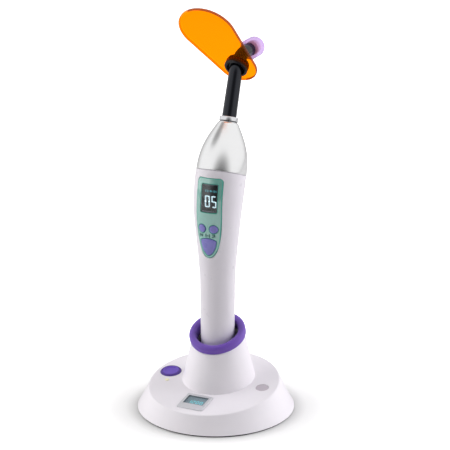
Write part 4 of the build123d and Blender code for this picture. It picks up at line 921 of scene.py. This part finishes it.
# The cross is cut by two boxes of unlike depths, so that no two faces of the cut coincide
armLength, armWidth = timesOf(headRadius, screwRule["armLength"]), timesOf(headRadius, screwRule["armWidth"])
for x, y, depth in ((armLength, armWidth, 2.0), (armWidth, armLength, 1.9)):
    armSize = addNode(screwTree, "ShaderNodeCombineXYZ", X=x, Y=y, Z=timesOf(recess, depth))
    arm = addNode(screwTree, "GeometryNodeMeshCube", Size=armSize.outputs[0])
    screwTree.links.new(arm.outputs["Mesh"], slotted.inputs["Mesh 2"])
under = mathOf(screwTree, "SUBTRACT", headDepth, rise)
shankLength = mathOf(screwTree, "SUBTRACT", length, under)
core = addNode(
    screwTree, "GeometryNodeMeshCylinder", Vertices=24, Radius=timesOf(shankRadius, screwRule["core"]),
    Depth=shankLength,
)
threadRadius = timesOf(shankRadius, screwRule["thread"])
threadLine = addNode(
    screwTree, "GeometryNodeCurveSpiral", Resolution=16, Start_Radius=threadRadius, End_Radius=threadRadius,
    Rotations=mathOf(screwTree, "DIVIDE", shankLength, timesOf(shankRadius, screwRule["pitch"])),
    Height=timesOf(shankLength, screwRule["threaded"]),
)
threadSection = addNode(
    screwTree, "GeometryNodeCurvePrimitiveCircle", Resolution=4,
    Radius=timesOf(shankRadius, screwRule["threadWidth"]),
)
thread = addNode(
    screwTree, "GeometryNodeCurveToMesh", Curve=threadLine.outputs[0], Profile_Curve=threadSection.outputs[0],
    Fill_Caps=True,
)
threadStart = mathOf(screwTree, "ADD", under, timesOf(shankLength, (1 - screwRule["threaded"]) / 2))
coreMiddle = mathOf(screwTree, "ADD", under, timesOf(shankLength, 0.5))
whole = addNode(screwTree, "GeometryNodeJoinGeometry")
for shape, height in ((thread, threadStart), (core, coreMiddle), (slotted, timesOf(rise, -1.0))):
    screwTree.links.new(raised(shape, height).outputs[0], whole.inputs[0])
closeTree(screwTree, screwIn, screwOut, whole.outputs[0])


def deckAt(x, y, z):
    return deckFrame @ Matrix.Translation((x, y, z))


def ringOf(place, radius, count, first, flip=False):
    made = []
    for k in range(count):
        angle = radians(first) + 2 * pi * k / count
        spot = place @ Matrix.Translation((radius * cos(angle), radius * sin(angle), 0))
        made.append(spot @ Matrix.Rotation(pi if flip else 0, 4, "X"))
    return made


screws = {  # sizes are in the order of screwLabels
    "baseScrews": {
        "node": "base_screws", "sizes": (2.6, 1.4, 1.2, 0.0, 1.4, 8.0, 0.8),
        "places": ringOf(Matrix.Translation((0, 0, 1.1)), 47.0, 4, 45),
    },
    "cupScrews": {
        "node": "cup_screws", "sizes": (1.7, 1.0, 0.7, 0.0, 1.0, 5.5, 0.45),
        "places": ringOf(deckAt(0, 3.0, 2.0), 16.0, 3, 30, True),
    },
    "boardScrews": {
        "node": "board_screws", "sizes": (1.9, 1.9, 1.2, 1.2, 1.0, 6.0, 0.7),
        "places": [deckAt(x, y, -9.6) for x, y in ((-28, -20), (28, -20), (-22, 5), (22, 5))],
    },
    "collarScrews": {
        "node": "collar_screws", "sizes": (1.9, 1.9, 1.2, 1.2, 1.0, 9.0, 0.7),
        "places": ringOf(deckAt(0, 5.4, -2.4), 21.8, 3, 90),
    },
}
for name, kind in screws.items():
    sizes = dict(zip(screwLabels, kind["sizes"]))
    mesh = grow(name, screwTree, kind["places"], {**sizes, "Finish": screwSteel})
    finishMesh(name, mesh, "base", standsFor=[kind["node"]])
print("screws done")

# Floor: glows white to the camera away from the object and less near it; the glow fades out where the base
# stands, a painted contact shadow, and the floor is painted greyer in reflections
ground = {
    "reach": 3.0, "colour": 0.76, "inMetal": 0.38, "lift": 0.25, "gloss": 0.3,
    "contact": (0.0545, 0.067), "whitening": (0.062, 0.13),  # distances from the middle
}
reach = ground["reach"]
floorMesh = bpy.data.meshes.new("floor")
floorCorners = [(-reach, -reach, 0), (reach, -reach, 0), (reach, reach, 0), (-reach, reach, 0)]
floorMesh.from_pydata(floorCorners, [], [(0, 1, 2, 3)])
floor = bpy.data.objects.new("floor", floorMesh)
bpy.context.scene.collection.objects.link(floor)
floorPaint = newMaterial(
    "floorPaint", (ground["colour"],) * 3, 0.9, Specular_IOR_Level=0.0, Emission_Color=(1, 1, 1, 1)
)
floorMesh.materials.append(floorPaint)


# 1 for rays from the camera and through clear pieces, and as much as gloss says for reflections
def seenDirectly(tree, gloss=1.0):
    rays = addNode(tree, "ShaderNodeLightPath").outputs
    reflection = mathOf(tree, "MULTIPLY", rays["Is Glossy Ray"], gloss)
    either = mathOf(tree, "MAXIMUM", rays["Is Camera Ray"], reflection)
    return mathOf(tree, "MAXIMUM", either, rays["Is Transmission Ray"])


floorTree = floorPaint.node_tree
place = addNode(floorTree, "ShaderNodeTexCoord").outputs["Object"]
distance = addNode(floorTree, "ShaderNodeVectorMath", {"operation": "LENGTH"}, _0=place).outputs["Value"]
rising = rampOf(floorTree, distance, *ground["whitening"], ground["lift"], 1.0, "SMOOTHSTEP")
# painted contact shadow: the glow fades out where the base stands
contact = rampOf(floorTree, distance, *ground["contact"], 0.0, 1.0, "SMOOTHSTEP")
grounded = mathOf(floorTree, "MULTIPLY", rising, contact)
lift = mathOf(floorTree, "MULTIPLY", grounded, seenDirectly(floorTree, ground["gloss"]))
feedShader(floorPaint, "Emission Strength", lift)
# painted shade in reflections: the floor's colour is greyer for glossy rays
inMetal = addNode(floorTree, "ShaderNodeLightPath").outputs["Is Glossy Ray"]
plain, darker = ((*(shade,) * 3, 1) for shade in (ground["colour"], ground["inMetal"]))
greyed = addNode(floorTree, "ShaderNodeMix", {"data_type": "RGBA"}, Factor=inMetal, A=plain, B=darker)
feedShader(floorPaint, "Base Color", greyed.outputs["Result"])

# Lamps: two large ones at the sides and a weak one over the object, all aimed at its middle
towards = Vector((0.4247, -0.9053, 0))  # from the object to the photographer
rightHand = Vector((0.9053, 0.4247, 0))
lampAim = Vector((0, 0, 0.12))
lamps = {
    "leftLamp": {
        "place": rightHand * -1.3 - towards * 0.08, "height": 0.35, "size": 1.9, "power": 25.5,
        "colour": (1, 0.985, 0.98),
    },
    "rightLamp": {
        "place": rightHand * 1.3 - towards * 0.15, "height": 0.45, "size": 1.9, "power": 28,
        "colour": (0.985, 0.97, 1),
    },
    "topLamp": {"place": towards * -0.6, "height": 1.4, "size": 1.6, "power": 3, "colour": (1, 1, 1)},
}
for name, lamp in lamps.items():
    light = bpy.data.lights.new(name, "AREA")
    light.size = lamp["size"]
    light.energy = lamp["power"]
    light.color = lamp["colour"]
    holder = bpy.data.objects.new(name, light)
    holder.location = lamp["place"] + Vector((0, 0, lamp["height"]))
    holder.rotation_euler = (holder.location - lampAim).to_track_quat("Z", "Y").to_euler()
    holder.visible_glossy = False  # the sky alone is seen in polished metal
    bpy.context.scene.collection.objects.link(holder)

# Sky: white for the camera and through clear pieces, weaker as light, with soft dark bands in reflections
world = bpy.data.worlds.new("studio")
bpy.context.scene.world = world
world.use_nodes = True
sky = world.node_tree
background = sky.nodes["Background"]
background.inputs["Color"].default_value = (1, 1, 1, 1)
direction = addNode(sky, "ShaderNodeTexCoord").outputs["Generated"]
skyBands = {  # the way to its middle, cosines where it starts and is full, strengths out of it and in it
    "overhead": (Vector((0, 0, 1)), 0.1, 0.95, 0.36, 0.46),
    "front": (towards, 0.15, 0.95, 1.0, 0.33),
    "darkFront": ((towards - rightHand * 0.06).normalized(), 0.62, 0.97, 1.0, 0.12),
    "darkBack": (-towards, 0.45, 0.95, 1.0, 0.55),
    "darkSide": ((towards * -0.15 - rightHand + Vector((0, 0, 1.45))).normalized(), 0.93, 0.995, 1.0, 0.3),
}


def skyBand(name):
    way, start, end, low, high = skyBands[name]
    facing = addNode(sky, "ShaderNodeVectorMath", {"operation": "DOT_PRODUCT"}, _0=direction, _1=way)
    return rampOf(sky, facing.outputs["Value"], start, end, low, high, "SMOOTHSTEP")


def blendOf(factor, a, b):
    return addNode(sky, "ShaderNodeMix", {"data_type": "FLOAT"}, Factor=factor, A=a, B=b).outputs["Result"]


onPlain = mathOf(sky, "MULTIPLY", skyBand("overhead"), skyBand("front"))
twoBands = mathOf(sky, "MULTIPLY", skyBand("darkFront"), skyBand("darkBack"))
reflected = mathOf(sky, "MULTIPLY", twoBands, skyBand("darkSide"))
rays = addNode(sky, "ShaderNodeLightPath")
seen = blendOf(rays.outputs["Is Glossy Ray"], 1.0, reflected)
sky.links.new(blendOf(seenDirectly(sky), onPlain, seen), background.inputs["Strength"])
bpy.context.scene.view_settings.view_transform = "Standard"
print("studio ready")
